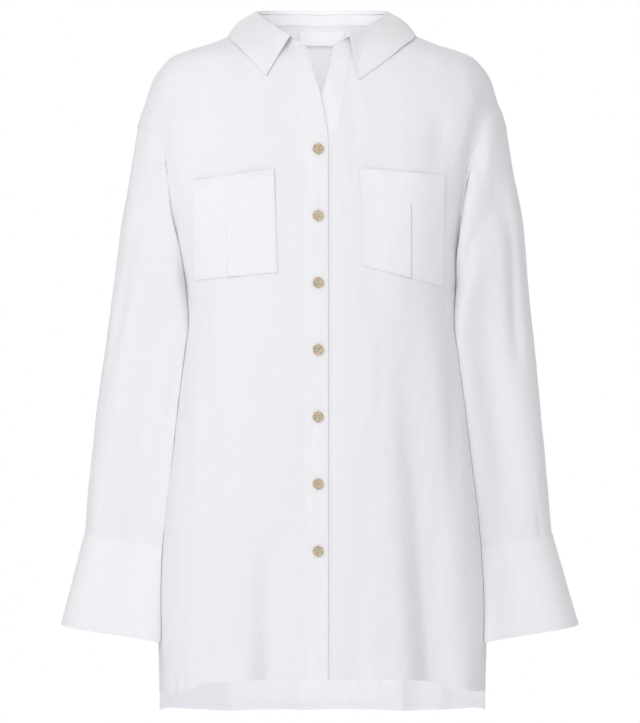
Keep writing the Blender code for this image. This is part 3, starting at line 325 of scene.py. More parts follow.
def weave_group():
    """Open plain weave from a map in metres: a shade for the colour that mixes painted shade (darker
    towards each yarn's edges, between the yarns and where one yarn passes under the other) with the
    slubs' own uneven tone, and a height for its relief.
    """
    tree = bpy.data.node_groups.new("open_weave", "ShaderNodeTree")
    face = tree.interface
    face.new_socket("Map", in_out="INPUT", socket_type="NodeSocketVector")
    yarns = face.new_socket("Yarns per metre", in_out="INPUT", socket_type="NodeSocketFloat")
    slubs = face.new_socket("Slub", in_out="INPUT", socket_type="NodeSocketFloat")
    yarns.default_value, slubs.default_value = YARNS_PER_METRE, LINEN_SLUB
    face.new_socket("Shade", in_out="OUTPUT", socket_type="NodeSocketFloat")
    face.new_socket("Height", in_out="OUTPUT", socket_type="NodeSocketFloat")
    given = tree.nodes.new("NodeGroupInput").outputs

    def value(operation, *parts):
        node = add_node(tree, "ShaderNodeMath", dict(enumerate(parts)), operation=operation)
        return node.outputs[0]

    def streaks(scale):
        stretch = add_node(tree, "ShaderNodeMapping", {"Scale": scale, "Vector": given["Map"]})
        cloud = add_node(tree, "ShaderNodeTexNoise", {
            "Scale": 1.0, "Detail": 3.0, "Roughness": 0.55, "Vector": stretch.outputs[0]})
        return cloud.outputs["Fac"]

    def yarn_wave(place, bend):
        """A wave that crosses zero between two yarns."""
        place = value("MULTIPLY", place, given["Yarns per metre"])
        return value("SINE", value("MULTIPLY", value("ADD", place, bend), math.pi))

    warp_slub, weft_slub = streaks(WARP_STREAKS), streaks(WEFT_STREAKS)
    split = add_node(tree, "ShaderNodeSeparateXYZ", {0: given["Map"]})
    bend = value("MULTIPLY", warp_slub, YARN_WANDERS)
    # painted shade: the yarn part of the colour darkens towards each yarn's edges and between yarns,
    # and on the yarn that passes under at each crossing
    across, down = yarn_wave(split.outputs[0], bend), yarn_wave(split.outputs[1], bend)
    over = value("MULTIPLY", value("MULTIPLY", across, down), 0.5)
    warp = value("MULTIPLY", value("ABSOLUTE", across), value("ADD", 0.5, over))
    weft = value("MULTIPLY", value("ABSOLUTE", down), value("SUBTRACT", 0.5, over))
    yarn = value("MAXIMUM", warp, weft)
    slub = value("MULTIPLY", value("ADD", warp_slub, weft_slub), 0.5)
    slub = value("SUBTRACT", value("MULTIPLY", slub, SLUB_CONTRAST), SLUB_SHIFT)
    plain = value("MULTIPLY", yarn, value("SUBTRACT", 1.0, given["Slub"]))
    feed(tree, tree.nodes.new("NodeGroupOutput"), {
        "Shade": value("ADD", plain, value("MULTIPLY", slub, given["Slub"])),
        "Height": value("ADD", yarn, value("MULTIPLY", slub, SLUB_RELIEF))})
    return tree


open_weave = weave_group()


def new_material(name, finish):
    """A material with its finish set, its node tree and its shader."""
    material = bpy.data.materials.new(name)
    material.use_nodes = True
    tree = material.node_tree
    return material, tree, feed(tree, tree.nodes["Principled BSDF"], finish)


def between(tree, mask, dark, light):
    """A colour between two others, by a mask."""
    mix = add_node(tree, "ShaderNodeMix", {}, data_type="RGBA")
    feed(tree, mix, {0: mask, 6: (*dark, 1.0), 7: (*light, 1.0)})
    return mix.outputs[2]


def woven_material(name, light, dark, yarns, finish, relief):
    """A woven cloth whose yarns follow the piece's flat map."""
    material, tree, shader = new_material(name, finish)
    flat_map = add_node(tree, "ShaderNodeUVMap", {}, uv_map="flat")
    weave = add_node(tree, "ShaderNodeGroup", {"Map": flat_map.outputs[0], **yarns},
                     node_tree=open_weave)
    bump = add_node(tree, "ShaderNodeBump", {**relief, "Height": weave.outputs["Height"]})
    # the colour runs from dark to light by the weave's shade: painted shade of the yarns' relief, and
    # the slubs' own uneven tone
    feed(tree, shader, {"Base Color": between(tree, weave.outputs["Shade"], dark, light),
                        "Normal": bump.outputs[0]})
    return material


linen = woven_material("linen one layer", LINEN_LIGHT, LINEN_SHADE, {"Slub": LINEN_SLUB},
                       LINEN_FINISH, LINEN_RELIEF)
linen_double = woven_material("linen two layers", DOUBLE_LIGHT, DOUBLE_SHADE,
                              {"Slub": DOUBLE_SLUB}, LINEN_FINISH, LINEN_RELIEF)


def add_piece(name, mesh, material=None):
    """A new piece in the scene, with its place in its mesh."""
    if material:
        mesh.materials.append(material)
    piece = bpy.data.objects.new(name, mesh)
    bpy.context.scene.collection.objects.link(piece)
    return piece


def run_lengths(grid, axis):
    """The length along the grid's lines up to each point."""
    steps = np.linalg.norm(np.diff(grid, axis=axis), axis=-1)
    pad = [(0, 0), (0, 0)]
    pad[axis] = (1, 0)
    return np.pad(np.cumsum(steps, axis=axis), pad)


def cloth_piece(name, grid, wall, material, tube=False, outward=None, offset=-1.0):
    """A cloth piece from a grid of points of its outer face, with its wall and its flat map."""
    rows, columns = grid.shape[:2]
    across, down = run_lengths(grid, 1), run_lengths(grid, 0)
    across = across - across[:, columns // 2][:, None]
    flat_map = np.stack([across, down[-1] - down], axis=-1)
    points = grid[:, :-1] if tube else grid
    count = points.shape[1]
    index = np.arange(rows * count).reshape(rows, count)
    after = np.roll(index, -1, axis=1) if tube else index[:, 1:]
    index = index if tube else index[:, :-1]
    faces = np.stack([index[:-1], after[:-1], after[1:], index[1:]], axis=-1).reshape(-1, 4)
    corners = np.stack([flat_map[:-1, :-1], flat_map[:-1, 1:], flat_map[1:, 1:], flat_map[1:, :-1]],
                       axis=2).reshape(-1, 4, 2)
    flat_points = points.reshape(-1, 3)
    ends = flat_points[faces]
    normals = np.cross(ends[:, 2] - ends[:, 0], ends[:, 3] - ends[:, 1])
    ways = ends.mean(axis=1) - flat_points.mean(axis=0) if outward is None else np.array(outward)
    if (normals * ways).sum() < 0.0:
        faces, corners = faces[:, ::-1], corners[:, ::-1]
    mesh = bpy.data.meshes.new(name)
    mesh.from_pydata(flat_points.tolist(), [], faces.tolist())
    layer = mesh.uv_layers.new(name="flat")
    layer.data.foreach_set("uv", corners.astype(np.float32).ravel())
    mesh.shade_smooth()
    mesh.validate()
    of_loops = np.zeros(len(mesh.loops), np.int32)
    mesh.loops.foreach_get("edge_index", of_loops)
    cut = np.bincount(of_loops, minlength=len(mesh.edges)) == 1
    mesh.attributes.new("sharp_edge", "BOOLEAN", "EDGE").data.foreach_set("value", cut)
    piece = add_piece(name, mesh, material)
    solidify = piece.modifiers.new("wall", "SOLIDIFY")
    solidify.thickness = wall
    solidify.offset = offset
    solidify.use_even_offset = False
    return piece


# Sewing. Every seam and hem is held by white thread in short stitches, which lie a little way in
# from the edge along a path on the cloth. The stitches are laid along it by a node tree.
STITCH_PITCH, STITCH_LENGTH, THREAD_THICKNESS = 2.9 * MM, 2.1 * MM, 0.42 * MM
STITCH_LIFT, RAISE_FADES = 0.12 * MM, 0.35
SHORTEST_STEP, SHORTEST_NORMAL = 1e-9, 1e-12


def thread_material():
    material, tree, shader = new_material("white thread", {"Roughness": 0.6})
    place = tree.nodes.new("ShaderNodeTexCoord").outputs["Object"]
    twist = add_node(tree, "ShaderNodeTexNoise", {"Scale": 900.0, "Vector": place})
    colour = between(tree, twist.outputs["Fac"], (0.80, 0.80, 0.83), (0.92, 0.92, 0.94))
    feed(tree, shader, {"Base Color": colour})
    return material


def stitch_tree():
    """Stitches along the edges of a mesh, as small spindles that follow its path."""
    tree = bpy.data.node_groups.new("stitches", "GeometryNodeTree")
    face = tree.interface
    face.new_socket("Path", in_out="INPUT", socket_type="NodeSocketGeometry")
    for name in ("Pitch", "Stitch length", "Thread"):
        face.new_socket(name, in_out="INPUT", socket_type="NodeSocketFloat")
    face.new_socket("Material", in_out="INPUT", socket_type="NodeSocketMaterial")
    face.new_socket("Stitches", in_out="OUTPUT", socket_type="NodeSocketGeometry")
    given = tree.nodes.new("NodeGroupInput").outputs
    curve = add_node(tree, "GeometryNodeMeshToCurve", {"Mesh": given["Path"]})
    even = add_node(tree, "GeometryNodeResampleCurve",
                    {"Curve": curve.outputs["Curve"], "Length": given["Pitch"]}, mode="LENGTH")
    bead = add_node(tree, "GeometryNodeMeshIcoSphere", {"Radius": 0.5, "Subdivisions": 1})
    size = add_node(tree, "ShaderNodeCombineXYZ", {
        "X": given["Thread"], "Y": given["Thread"], "Z": given["Stitch length"]})
    spindle = add_node(tree, "GeometryNodeTransform", {
        "Geometry": bead.outputs["Mesh"], "Scale": size.outputs[0]})
    tangent = tree.nodes.new("GeometryNodeInputTangent")
    turn = add_node(tree, "FunctionNodeAlignRotationToVector", {"Vector": tangent.outputs[0]},
                    axis="Z")
    stitches = add_node(tree, "GeometryNodeInstanceOnPoints", {
        "Points": even.outputs["Curve"], "Instance": spindle.outputs["Geometry"],
        "Rotation": turn.outputs[0]})
    real = add_node(tree, "GeometryNodeRealizeInstances", {0: stitches.outputs[0]})
    smooth = add_node(tree, "GeometryNodeSetShadeSmooth", {"Geometry": real.outputs[0]})
    finish = add_node(tree, "GeometryNodeSetMaterial", {
        "Geometry": smooth.outputs[0], "Material": given["Material"]})
    feed(tree, tree.nodes.new("NodeGroupOutput"), {"Stitches": finish.outputs[0]})
    return tree


thread, stitches_tree = thread_material(), stitch_tree()


def finished_mesh(piece):
    """The plain mesh that a piece's modifiers make; the piece itself is removed."""
    graph = bpy.context.evaluated_depsgraph_get()
    made = bpy.data.meshes.new_from_object(piece.evaluated_get(graph))
    bpy.data.objects.remove(piece)
    return made


def sew(name, paths, slot, pitch=STITCH_PITCH, length=STITCH_LENGTH, thick=THREAD_THICKNESS):
    """Rows of stitches along paths of points, as one piece that moves with the shirt."""
    starts = np.cumsum([0, *[len(path) for path in paths]])
    edges = [(i, i + 1) for a, b in zip(starts, starts[1:]) for i in range(a, b - 1)]
    mesh = bpy.data.meshes.new(name + "_path")
    mesh.from_pydata(np.vstack(paths).tolist(), edges, [])
    rows = add_piece(name + "_path", mesh)
    modifier = rows.modifiers.new("stitches", "NODES")
    modifier.node_group = stitches_tree
    values = {"Pitch": pitch, "Stitch length": length, "Thread": thick, "Material": thread}
    for item in stitches_tree.interface.items_tree:
        if item.in_out == "INPUT" and item.name in values:
            modifier[item.identifier] = values[item.name]
    made = finished_mesh(rows)
    made.name = name
    piece = add_piece(name, made)
    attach(piece, "root")
    return piece


def from_edge(grid, edge):
    """The grid with its rows counted from one of its edges."""
    grid = grid.transpose(1, 0, 2) if edge in ("first", "last") else grid
    return grid[::-1] if edge in ("bottom", "last") else grid


def grid_normals(grid, outward):
    """The direction straight out of a grid of points, on the side that outward names."""
    normal = np.cross(np.gradient(grid, axis=1), np.gradient(grid, axis=0))
    normal = normal / np.maximum(np.linalg.norm(normal, axis=-1, keepdims=True), SHORTEST_NORMAL)
    return normal * np.sign((normal * outward).sum())


def inset_path(grid, edge, distance, outward):
    """A path on a grid's face, a distance in from one of its edges, lifted off for the thread."""
    turned = from_edge(grid, edge)
    length = run_lengths(turned, 0)
    row = np.clip((length < distance).sum(axis=0), 1, len(turned) - 1)
    columns = np.arange(turned.shape[1])
    short, far = length[row - 1, columns], length[row, columns]
    share = ((distance - short) / np.maximum(far - short, SHORTEST_STEP))[:, None]
    path = turned[row - 1, columns] * (1.0 - share) + turned[row, columns] * share
    normal = grid_normals(turned, outward)[row, columns]
    return path + normal * STITCH_LIFT


def raised_edge(grid, edge, width, height, outward):
    """The grid with a band along one edge raised, where the cloth is folded or felled."""
    turned = from_edge(grid, edge)
    past = run_lengths(turned, 0) - width
    lift = height * (1.0 - smooth_step(past / (RAISE_FADES * width)))
    turned = turned + grid_normals(turned, outward) * lift[..., None]
    turned = turned[::-1] if edge in ("bottom", "last") else turned
    return turned.transpose(1, 0, 2) if edge in ("first", "last") else turned


# The two fronts. Each is one layer of linen from its placket to the armhole and the side seam.
# The one on the wearer's right lies on top. Both have a narrow stitched hem that dips at the side
# and a vent in each side seam, and end in a seam just forward of the shoulder.
OVER_ROWS = (
    # height, sewn edge x, free edge x (mm)
    (-10.0, -37.0, -19.3),
    (-29.0, -32.1, -14.1),
    (-51.5, -28.1, -7.3),
    (-71.5, -24.8, -1.1),
    (-98.0, -21.4, 3.9),
    (-122.0, -19.1, 6.7),
    (-150.0, -19.1, 6.7),
    (-800.0, -19.1, 6.7),
)
UNDER_ROWS = (
    # height, sewn edge x, free edge x (mm)
    (-10.0, 33.0, 13.3),
    (-29.0, 30.4, 9.6),
    (-51.5, 28.1, 4.5),
    (-71.5, 24.7, -1.1),
    (-98.0, 20.2, -9.0),
    (-122.0, 13.0, -15.5),
    (-155.0, 9.8, -17.0),
    (-800.0, 9.8, -17.0),
)
# how deep the front below sinks under the placket on top, over which width, and how far past it
UNDER_SINK, SINK_RAMP, SINK_PAST = 1.8 * MM, 14.0 * MM, 3.0 * MM
# the neckline in plan, x and y (mm), on one front and on half of the back
NECK_FRONT = ((51.0, -64.0), (64.0, -48.0), (73.5, -28.0))
NECK_BACK = ((73.5, -28.0), (80.5, 0.0), (77.0, 25.0), (62.0, 42.0), (40.0, 53.0), (0.0, 59.5))
NECK_SEWN_Y, NECK_SEWN_HEIGHT = -74.5, -15.0
NECK_FREE_HEIGHT = -11.5
ARMHOLE_TOP, UNDERARM = -101.0, -287.0
ARMHOLE_ROWS = {
    # x and height (mm), from the top of the arm down
    (FRONT, -1): ((206.0, -104.0), (193.0, -112.0), (181.0, -123.0), (177.0, -150.0),
                  (172.0, -195.0), (164.0, -250.0)),
    (FRONT, 1): ((206.0, -105.0), (193.0, -113.0), (180.0, -124.0), (168.0, -150.0),
                 (162.0, -195.0), (161.5, -250.0)),
}
for back_side in (-1, 1):
    ARMHOLE_ROWS[BACK, back_side] = ((206.0, -107.0), (198.0, -118.0), (189.0, -140.0),
                                     (180.0, -190.0), (168.0, -245.0))
SIDE_ANGLE = math.pi / 2.0
AHEAD, BEHIND, UP = (0.0, -1.0, 0.0), (0.0, 1.0, 0.0), (0.0, 0.0, 1.0)
# how many parts a curve and the panels' edges are divided into
CURVE_PARTS, FINER = 799, 8
ARMHOLE_PARTS, YOKE_FRONT_PARTS, YOKE_BACK_PARTS = 12 * FINER, FINER, 3 * FINER
NECK_PARTS, YOKE_DOWN, YOKE_ACROSS = 30, 35, 144
YOKE_PARTS = YOKE_ACROSS + 2 * (YOKE_FRONT_PARTS + YOKE_BACK_PARTS)
FRONT_ACROSS = NECK_PARTS + YOKE_DOWN
# how soon the shapes of a panel's top and hem fade out in it, and where its rows are level (mm)
EDGE_FADE, ROW_EASE, LEVEL_BELOW = 4.0, 1.8, -400.0
VENT_TOP, VENT_OPEN, VENT_PARTS = -655.0, 12.0, 36
SIDE_PARTS, SIDE_CROWDING = 140, 1.25
FRONT_HEM = {
    # x and height (mm), from the placket to the side
    -1: ((0.0, -727.0), (60.0, -727.5), (118.0, -730.5), (138.0, -733.0), (152.0, -741.0),
         (187.0, -746.0)),
    1: ((0.0, -727.0), (60.0, -727.0), (95.0, -728.0), (120.0, -730.5), (140.0, -737.5),
        (187.0, -746.0)),
}
HEM_WIDTH, HEM_RAISE = 6.0 * MM, 0.45 * MM
FELL_WIDTH, FELL_RAISE = 6.0 * MM, 0.4 * MM
placket_edges = {-1: smooth_rows(np.array(OVER_ROWS) * MM),
                 1: smooth_rows(np.array(UNDER_ROWS) * MM)}


def path_lengths(points):
    """The length along a path up to each of its points."""
    return np.r_[0.0, np.cumsum(np.linalg.norm(np.diff(points, axis=0), axis=1))]


def spaced(points, parts, placed=np.asarray):
    """The points of a path on a smooth curve through some points, spaced evenly by length. The
    length is measured where placed puts them."""
    points = np.array(points, float)
    lengths = path_lengths(placed(points))
    curve = smooth_rows(np.column_stack([lengths, points]))
    dense = curve(np.linspace(0.0, lengths[-1], CURVE_PARTS + 1))
    along = path_lengths(placed(dense))
    wanted = np.linspace(0.0, along[-1], parts + 1)
    return np.column_stack([np.interp(wanted, along, column) for column in dense.T])


def patch(top, bottom, first, last, ease=1.0):
    """A grid of points ruled between two edges that run down, with its own top and bottom."""
    share = np.linspace(0.0, 1.0, len(top))
    across = np.column_stack([share, 1.0 - (1.0 - share) ** ease])[None]
    down = np.linspace(0.0, 1.0, len(first))[:, None, None]
    ruled = (1.0 - across) * first[:, None] + across * last[:, None]
    top_shape = (top[None] - ruled[:1]) * (1.0 - down) ** EDGE_FADE
    return ruled + top_shape + (bottom[None] - ruled[-1:]) * down**EDGE_FADE


def neck_end(side):
    """The free end of a placket's top edge, in x and height."""
    height = np.array(NECK_FREE_HEIGHT * MM)
    return placket_edges[side](height)[1], height


def neck_front(side):
    """The neckline of one front in plan, from the placket to the yoke's front seam."""
    sewn_x = abs(placket_edges[side](NECK_SEWN_HEIGHT * MM)[0]) / MM
    points = np.vstack([[sewn_x, NECK_SEWN_Y], NECK_FRONT]) * MM
    return spaced(points, NECK_PARTS) * (side, 1.0)


def neck_back():
    """The neckline of the yoke in plan, from one front seam round the back to the other."""
    half = np.array(NECK_BACK) * MM
    return spaced(np.vstack([half * (-1.0, 1.0), half[::-1][1:]]), YOKE_PARTS)


def armhole(face, side):
    """The armhole of one face, from the top of the arm to the underarm, in angle and height."""
    inner = np.array(ARMHOLE_ROWS[face, side]) * MM
    angles = np.abs(body_angle(side * inner[:, 0], inner[:, 1], face))
    rows = np.vstack([(SIDE_ANGLE, ARMHOLE_TOP * MM), np.column_stack([angles, inner[:, 1]]),
                      (SIDE_ANGLE, UNDERARM * MM)])
    return spaced(rows, ARMHOLE_PARTS, lambda path: body_point(*path.T)) * (side, 1.0)


def side_seam(side, face, hem_height):
    """The side seam and vent of one face, from the underarm to the hem."""
    steps = np.linspace(0.0, 1.0, SIDE_PARTS - VENT_PARTS + 1) ** SIDE_CROWDING
    heights = (UNDERARM + (VENT_TOP - UNDERARM) * steps) * MM
    vent = np.linspace(VENT_TOP * MM, hem_height, VENT_PARTS + 1)
    heights = np.concatenate([heights[1:], vent[1:]])
    open_share = np.clip((VENT_TOP * MM - heights) / (VENT_TOP * MM - hem_height), 0.0, 1.0)
    swing = (VENT_OPEN * MM * open_share / body_sizes(heights)[:, 1]) ** (ROUNDNESS / 2.0)
    return np.column_stack([side * (SIDE_ANGLE + face * swing), heights])


def front_side_edge(side):
    """The outer edge of a front, from the yoke down the armhole and the side seam to the hem."""
    seam = side_seam(side, FRONT, FRONT_HEM[side][-1][1] * MM)
    return np.vstack([armhole(FRONT, side)[YOKE_FRONT_PARTS:], seam])


def placket_heights(side_heights, top, side):
    """The height at which each row of a front meets its placket."""
    hem = FRONT_HEM[side][0][1] * MM
    level = LEVEL_BELOW * MM
    return np.interp(side_heights, [side_heights[-1], level, side_heights[0]], [hem, level, top])


def hem_line(rows, start, end, parts):
    """The lower edge of a panel between two angles, from a table of x and height."""
    rows = np.array(rows) * MM
    angles = np.linspace(start, end, parts + 1)
    x = body_sizes(rows[0, 1])[0] * np.abs(np.sin(angles)) ** (2.0 / ROUNDNESS)
    return np.column_stack([angles, smooth_rows(rows)(x)[:, 0]])


def under_sink(x, height):
    """How deep the under front passes below the placket that covers it."""
    edge = placket_edges[-1](height)[..., 1]
    return UNDER_SINK * smooth_step((edge + SINK_PAST + SINK_RAMP - x) / SINK_RAMP)


def make_front(side, name, node):
    """A front with its raised hem and its stitches."""
    neck = on_shoulder(neck_front(side))
    hole = armhole(FRONT, side)
    tip = body_point(hole[YOKE_FRONT_PARTS, 0], hole[YOKE_FRONT_PARTS, 1])
    seam = on_shoulder(np.linspace(neck[-1, :2], tip[:2], YOKE_DOWN + 1))
    top = np.vstack([neck, seam[1:]])
    top = np.column_stack([plan_angle(top[:, 0], top[:, 1], top[:, 2]), top[:, 2]])
    hem_height = np.array(FRONT_HEM[side][0][1] * MM)
    start_angle = body_angle(placket_edges[side](hem_height)[0], hem_height, FRONT)
    last = front_side_edge(side)
    bottom = hem_line(FRONT_HEM[side], start_angle, last[-1, 0], FRONT_ACROSS)
    first_z = placket_heights(last[:, 1], top[0, 1], side)
    first_x = placket_edges[side](first_z)[:, 0]
    first = np.column_stack([body_angle(first_x, first_z, FRONT), first_z])
    top[0], bottom[0] = first[0], first[-1]
    top[-1], bottom[-1] = last[0], last[-1]
    grid = patch(top, bottom, first, last, ROW_EASE)
    x = body_point(grid[..., 0], grid[..., 1])[..., 0]
    sink = under_sink(x, grid[..., 1]) if side > 0 else 0.0
    points = cloth_point(grid[..., 0], grid[..., 1], -sink)
    points = raised_edge(points, "bottom", HEM_WIDTH, HEM_RAISE, AHEAD)
    piece = cloth_piece(name, points, LINEN_WALL, linen, outward=AHEAD)
    armhole_rows = points[: ARMHOLE_PARTS - YOKE_FRONT_PARTS + 1]
    vent_rows = points[-(VENT_PARTS + 1):]
    stitches = sew(name + "_stitches", [
        inset_path(points, "bottom", HEM_WIDTH, AHEAD),
        inset_path(armhole_rows, "last", FELL_WIDTH, AHEAD),
        inset_path(vent_rows, "last", HEM_WIDTH, AHEAD),
    ], "linen")
    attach(piece, "root")
    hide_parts(node)
    return piece


fronts = {-1: make_front(-1, "front_on_top", "front_over"),
          1: make_front(1, "front_below", "front_under")}


# The plackets. Each is a doubled strip of linen along the free edge of a front, folded at that
# edge and held by a row of stitches along both sides. The top one lies over the other.
PLACKET_RAISE, PLACKET_STITCH_IN = 0.5 * MM, 2.2 * MM
PLACKET_ACROSS = 12


def make_placket(side, name, node):
    """A placket with its two rows of stitches."""
    free_z = NECK_FREE_HEIGHT * MM
    sewn_z = on_shoulder(neck_front(side)[:1])[0, 2]
    rows = front_side_edge(side)
    columns = []
    for part in np.linspace(0.0, 1.0, PLACKET_ACROSS + 1):
        z = placket_heights(rows[:, 1], sewn_z + (free_z - sewn_z) * part, side)
        edges = placket_edges[side](z)
        x = edges[:, 0] + (edges[:, 1] - edges[:, 0]) * part
        columns.append(np.column_stack([body_angle(x, z, FRONT), z]))
    grid = np.stack(columns, axis=1)
    x = body_point(grid[..., 0], grid[..., 1])[..., 0]
    sink = under_sink(x, grid[..., 1]) if side > 0 else 0.0
    points = cloth_point(grid[..., 0], grid[..., 1], PLACKET_RAISE - sink)
    piece = cloth_piece(name, points, DOUBLE_WALL, linen_double, outward=AHEAD)
    stitches = sew(name + "_stitches", [
        inset_path(points, edge, PLACKET_STITCH_IN, AHEAD) for edge in ("first", "last")
    ], "linen_double")
    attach(piece, "root")
    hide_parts(node)


make_placket(-1, "placket_on_top", "placket_over")
make_placket(1, "placket_below", "placket_under")


# The back. One layer of linen below the yoke, cut longer than the fronts, with vents at the side
# seams and a narrow hem. It hangs in long soft folds from the shoulder blades.
BACK_HEM = ((0.0, -780.0), (100.0, -780.0), (150.0, -777.0), (187.0, -771.0))
YOKE_SEAM_BACK = -114.0


def unwrapped(angle):
    """Angles counted from -X round the back to +X, so that they grow without a jump."""
    return np.where(angle < 0.0, angle + 2.0 * math.pi, angle)


def back_yoke_seam(ends):
    """The yoke's seam across the back, between the two armholes, in angle and height."""
    start, end = unwrapped(ends[-1][0]), unwrapped(ends[1][0])
    angles = np.linspace(start, end, YOKE_ACROSS + 1)
    across = np.abs(np.linspace(-1.0, 1.0, YOKE_ACROSS + 1))
    low = (ends[-1][1] + ends[1][1]) / 2.0
    heights = YOKE_SEAM_BACK * MM + (low - YOKE_SEAM_BACK * MM) * across**2
    heights[0], heights[-1] = ends[-1][1], ends[1][1]
    return np.column_stack([angles, heights])


back_holes = {side: armhole(BACK, side) for side in (-1, 1)}
back_top = back_yoke_seam({side: back_holes[side][YOKE_BACK_PARTS] for side in (-1, 1)})
back_top[:, 0] = unwrapped(back_top[:, 0])
back_sides = {}
for side in (-1, 1):
    seam = side_seam(side, BACK, BACK_HEM[-1][1] * MM)
    back_sides[side] = np.vstack([back_holes[side][YOKE_BACK_PARTS:], seam])
    back_sides[side][:, 0] = unwrapped(back_sides[side][:, 0])
back_low = hem_line(BACK_HEM, back_sides[-1][-1, 0], back_sides[1][-1, 0], YOKE_ACROSS)
back_low[0], back_low[-1] = back_sides[-1][-1], back_sides[1][-1]
back_grid = patch(back_top, back_low, back_sides[-1], back_sides[1])
back_points = cloth_point(back_grid[..., 0], back_grid[..., 1])
back_points = raised_edge(back_points, "bottom", HEM_WIDTH, HEM_RAISE, BEHIND)
back = cloth_piece("back_panel", back_points, LINEN_WALL, linen, outward=BEHIND)
back_armholes = back_points[: ARMHOLE_PARTS - YOKE_BACK_PARTS + 1]
back_vents = back_points[-(VENT_PARTS + 1):]
inside_back = back_points - grid_normals(back_points, BEHIND) * (LINEN_WALL + 2.0 * STITCH_LIFT)
back_stitches = sew("back_panel_stitches", [
    inset_path(back_points, "bottom", HEM_WIDTH, BEHIND),
    inset_path(inside_back, "bottom", HEM_WIDTH, BEHIND),
    inset_path(back_armholes, "first", FELL_WIDTH, BEHIND),
    inset_path(back_armholes, "last", FELL_WIDTH, BEHIND),
    inset_path(back_vents, "first", HEM_WIDTH, BEHIND),
    inset_path(back_vents, "last", HEM_WIDTH, BEHIND),
], "linen")
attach(back, "root")
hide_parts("back")


# The yoke. One piece over both shoulders, with its front seams a little forward of the shoulder
# line and its back seam across the shoulder blades. The seams are felled, so the yoke's edge lies
# on top of the panels and is stitched down.
YOKE_STITCH_IN = 1.6 * MM
front_holes = {side: armhole(FRONT, side) for side in (-1, 1)}
yoke_seam = back_yoke_seam({side: back_holes[side][YOKE_BACK_PARTS] for side in (-1, 1)})
yoke_outer = np.vstack([
    front_holes[-1][YOKE_FRONT_PARTS:0:-1], back_holes[-1][:YOKE_BACK_PARTS], yoke_seam,
    back_holes[1][YOKE_BACK_PARTS - 1::-1], front_holes[1][1:YOKE_FRONT_PARTS + 1],
])
yoke_outer_points = body_point(yoke_outer[:, 0], yoke_outer[:, 1])
yoke_share = np.linspace(0.0, 1.0, YOKE_DOWN + 1)[:, None, None]
yoke_plan = (1.0 - yoke_share) * neck_back()[None] + yoke_share * yoke_outer_points[None, :, :2]
yoke_form = on_shoulder(yoke_plan)
yoke_form[-1] = yoke_outer_points
yoke_angle = plan_angle(yoke_form[..., 0], yoke_form[..., 1], yoke_form[..., 2])
yoke_points = yoke_form + (cloth_point(yoke_angle, yoke_form[..., 2])
                           - body_point(yoke_angle, yoke_form[..., 2]))
for edge in ("first", "last", "bottom"):
    yoke_points = raised_edge(yoke_points, edge, FELL_WIDTH, FELL_RAISE, UP)
yoke = cloth_piece("yoke_panel", yoke_points, LINEN_WALL, linen, outward=UP)
yoke_stitches = sew("yoke_panel_stitches", [
    inset_path(yoke_points, edge, YOKE_STITCH_IN, UP) for edge in ("bottom", "first", "last")
], "linen")
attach(yoke, "root")
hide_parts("yoke")


# The sleeves. Each is one tube of linen from the dropped armhole to the cuff, set in flat with a
# felled seam. They hang close to the body, and their cloth sags in long uneven folds.
SLEEVE_ROWS = (
    # outer height, outer x on the -X and the +X side, inner x, inner height, half depth, middle y (mm)
    (-101.0, 211.5, 211.5, 160.5, -287.0, 70.0, 0.0),
    (-125.0, 215.5, 215.5, 164.5, -291.0, 73.0, 1.0),
    (-150.0, 219.5, 219.5, 164.5, -297.0, 75.0, 3.0),
    (-178.0, 224.0, 225.0, 162.5, -305.0, 75.0, 6.0),
    (-215.0, 230.5, 231.0, 160.5, -317.0, 74.0, 10.0),
    (-262.0, 236.5, 235.5, 160.5, -336.0, 71.0, 15.0),
    (-314.0, 244.5, 240.5, 162.5, -364.0, 67.0, 19.0),
    (-366.0, 251.5, 246.0, 167.0, -402.0, 65.0, 21.0),
    (-420.0, 258.5, 251.5, 171.0, -446.0, 63.0, 22.0),
    (-474.0, 264.5, 256.5, 175.5, -493.0, 60.0, 22.0),
    (-520.0, 269.5, 260.5, 180.0, -537.0, 57.0, 22.0),
    (-567.5, 273.3, 265.3, 184.5, -583.5, 55.0, 22.0),
    (-572.5, 274.6, 266.7, 184.9, -588.5, 55.7, 22.0),
)
SLEEVE_FOLDS = (
    # side, start and end share, angle at start, at end and spread (degrees), depth (mm)
    (-1, 0.10, 0.62, 62.0, 40.0, 13.0, 4.0),
    (-1, 0.30, 0.95, 128.0, 112.0, 13.0, 4.5),
    (-1, 0.25, 0.90, 250.0, 262.0, 15.0, 5.0),
    (1, 0.05, 0.55, 52.0, 66.0, 12.0, 6.5),
    (1, 0.35, 0.98, 100.0, 84.0, 12.0, 4.0),
    (1, 0.20, 0.85, 255.0, 240.0, 15.0, 5.0),
    (-1, 0.80, 1.04, 60.0, 66.0, 7.0, 1.6),
    (-1, 0.84, 1.03, 96.0, 90.0, 6.0, 1.2),
    (-1, 0.02, 0.22, 96.0, 84.0, 6.0, 1.0),
    (1, 0.02, 0.20, 100.0, 112.0, 6.0, 1.2),
    (1, 0.82, 1.04, 58.0, 52.0, 6.0, 1.2),
    (-1, 0.55, 0.98, 300.0, 290.0, 9.0, 1.8),
    (1, 0.50, 0.96, 210.0, 225.0, 9.0, 1.8),
    (-1, 0.05, 0.35, 285.0, 270.0, 9.0, 1.5),
    (1, 0.05, 0.32, 290.0, 300.0, 9.0, 1.5),
)
SLEEVE_RINGS = 110
SLEEVE_ROUNDNESS = 3.0
SLEEVE_CLEARANCE, PUSH_ROUNDS = 0.4 * MM, 4
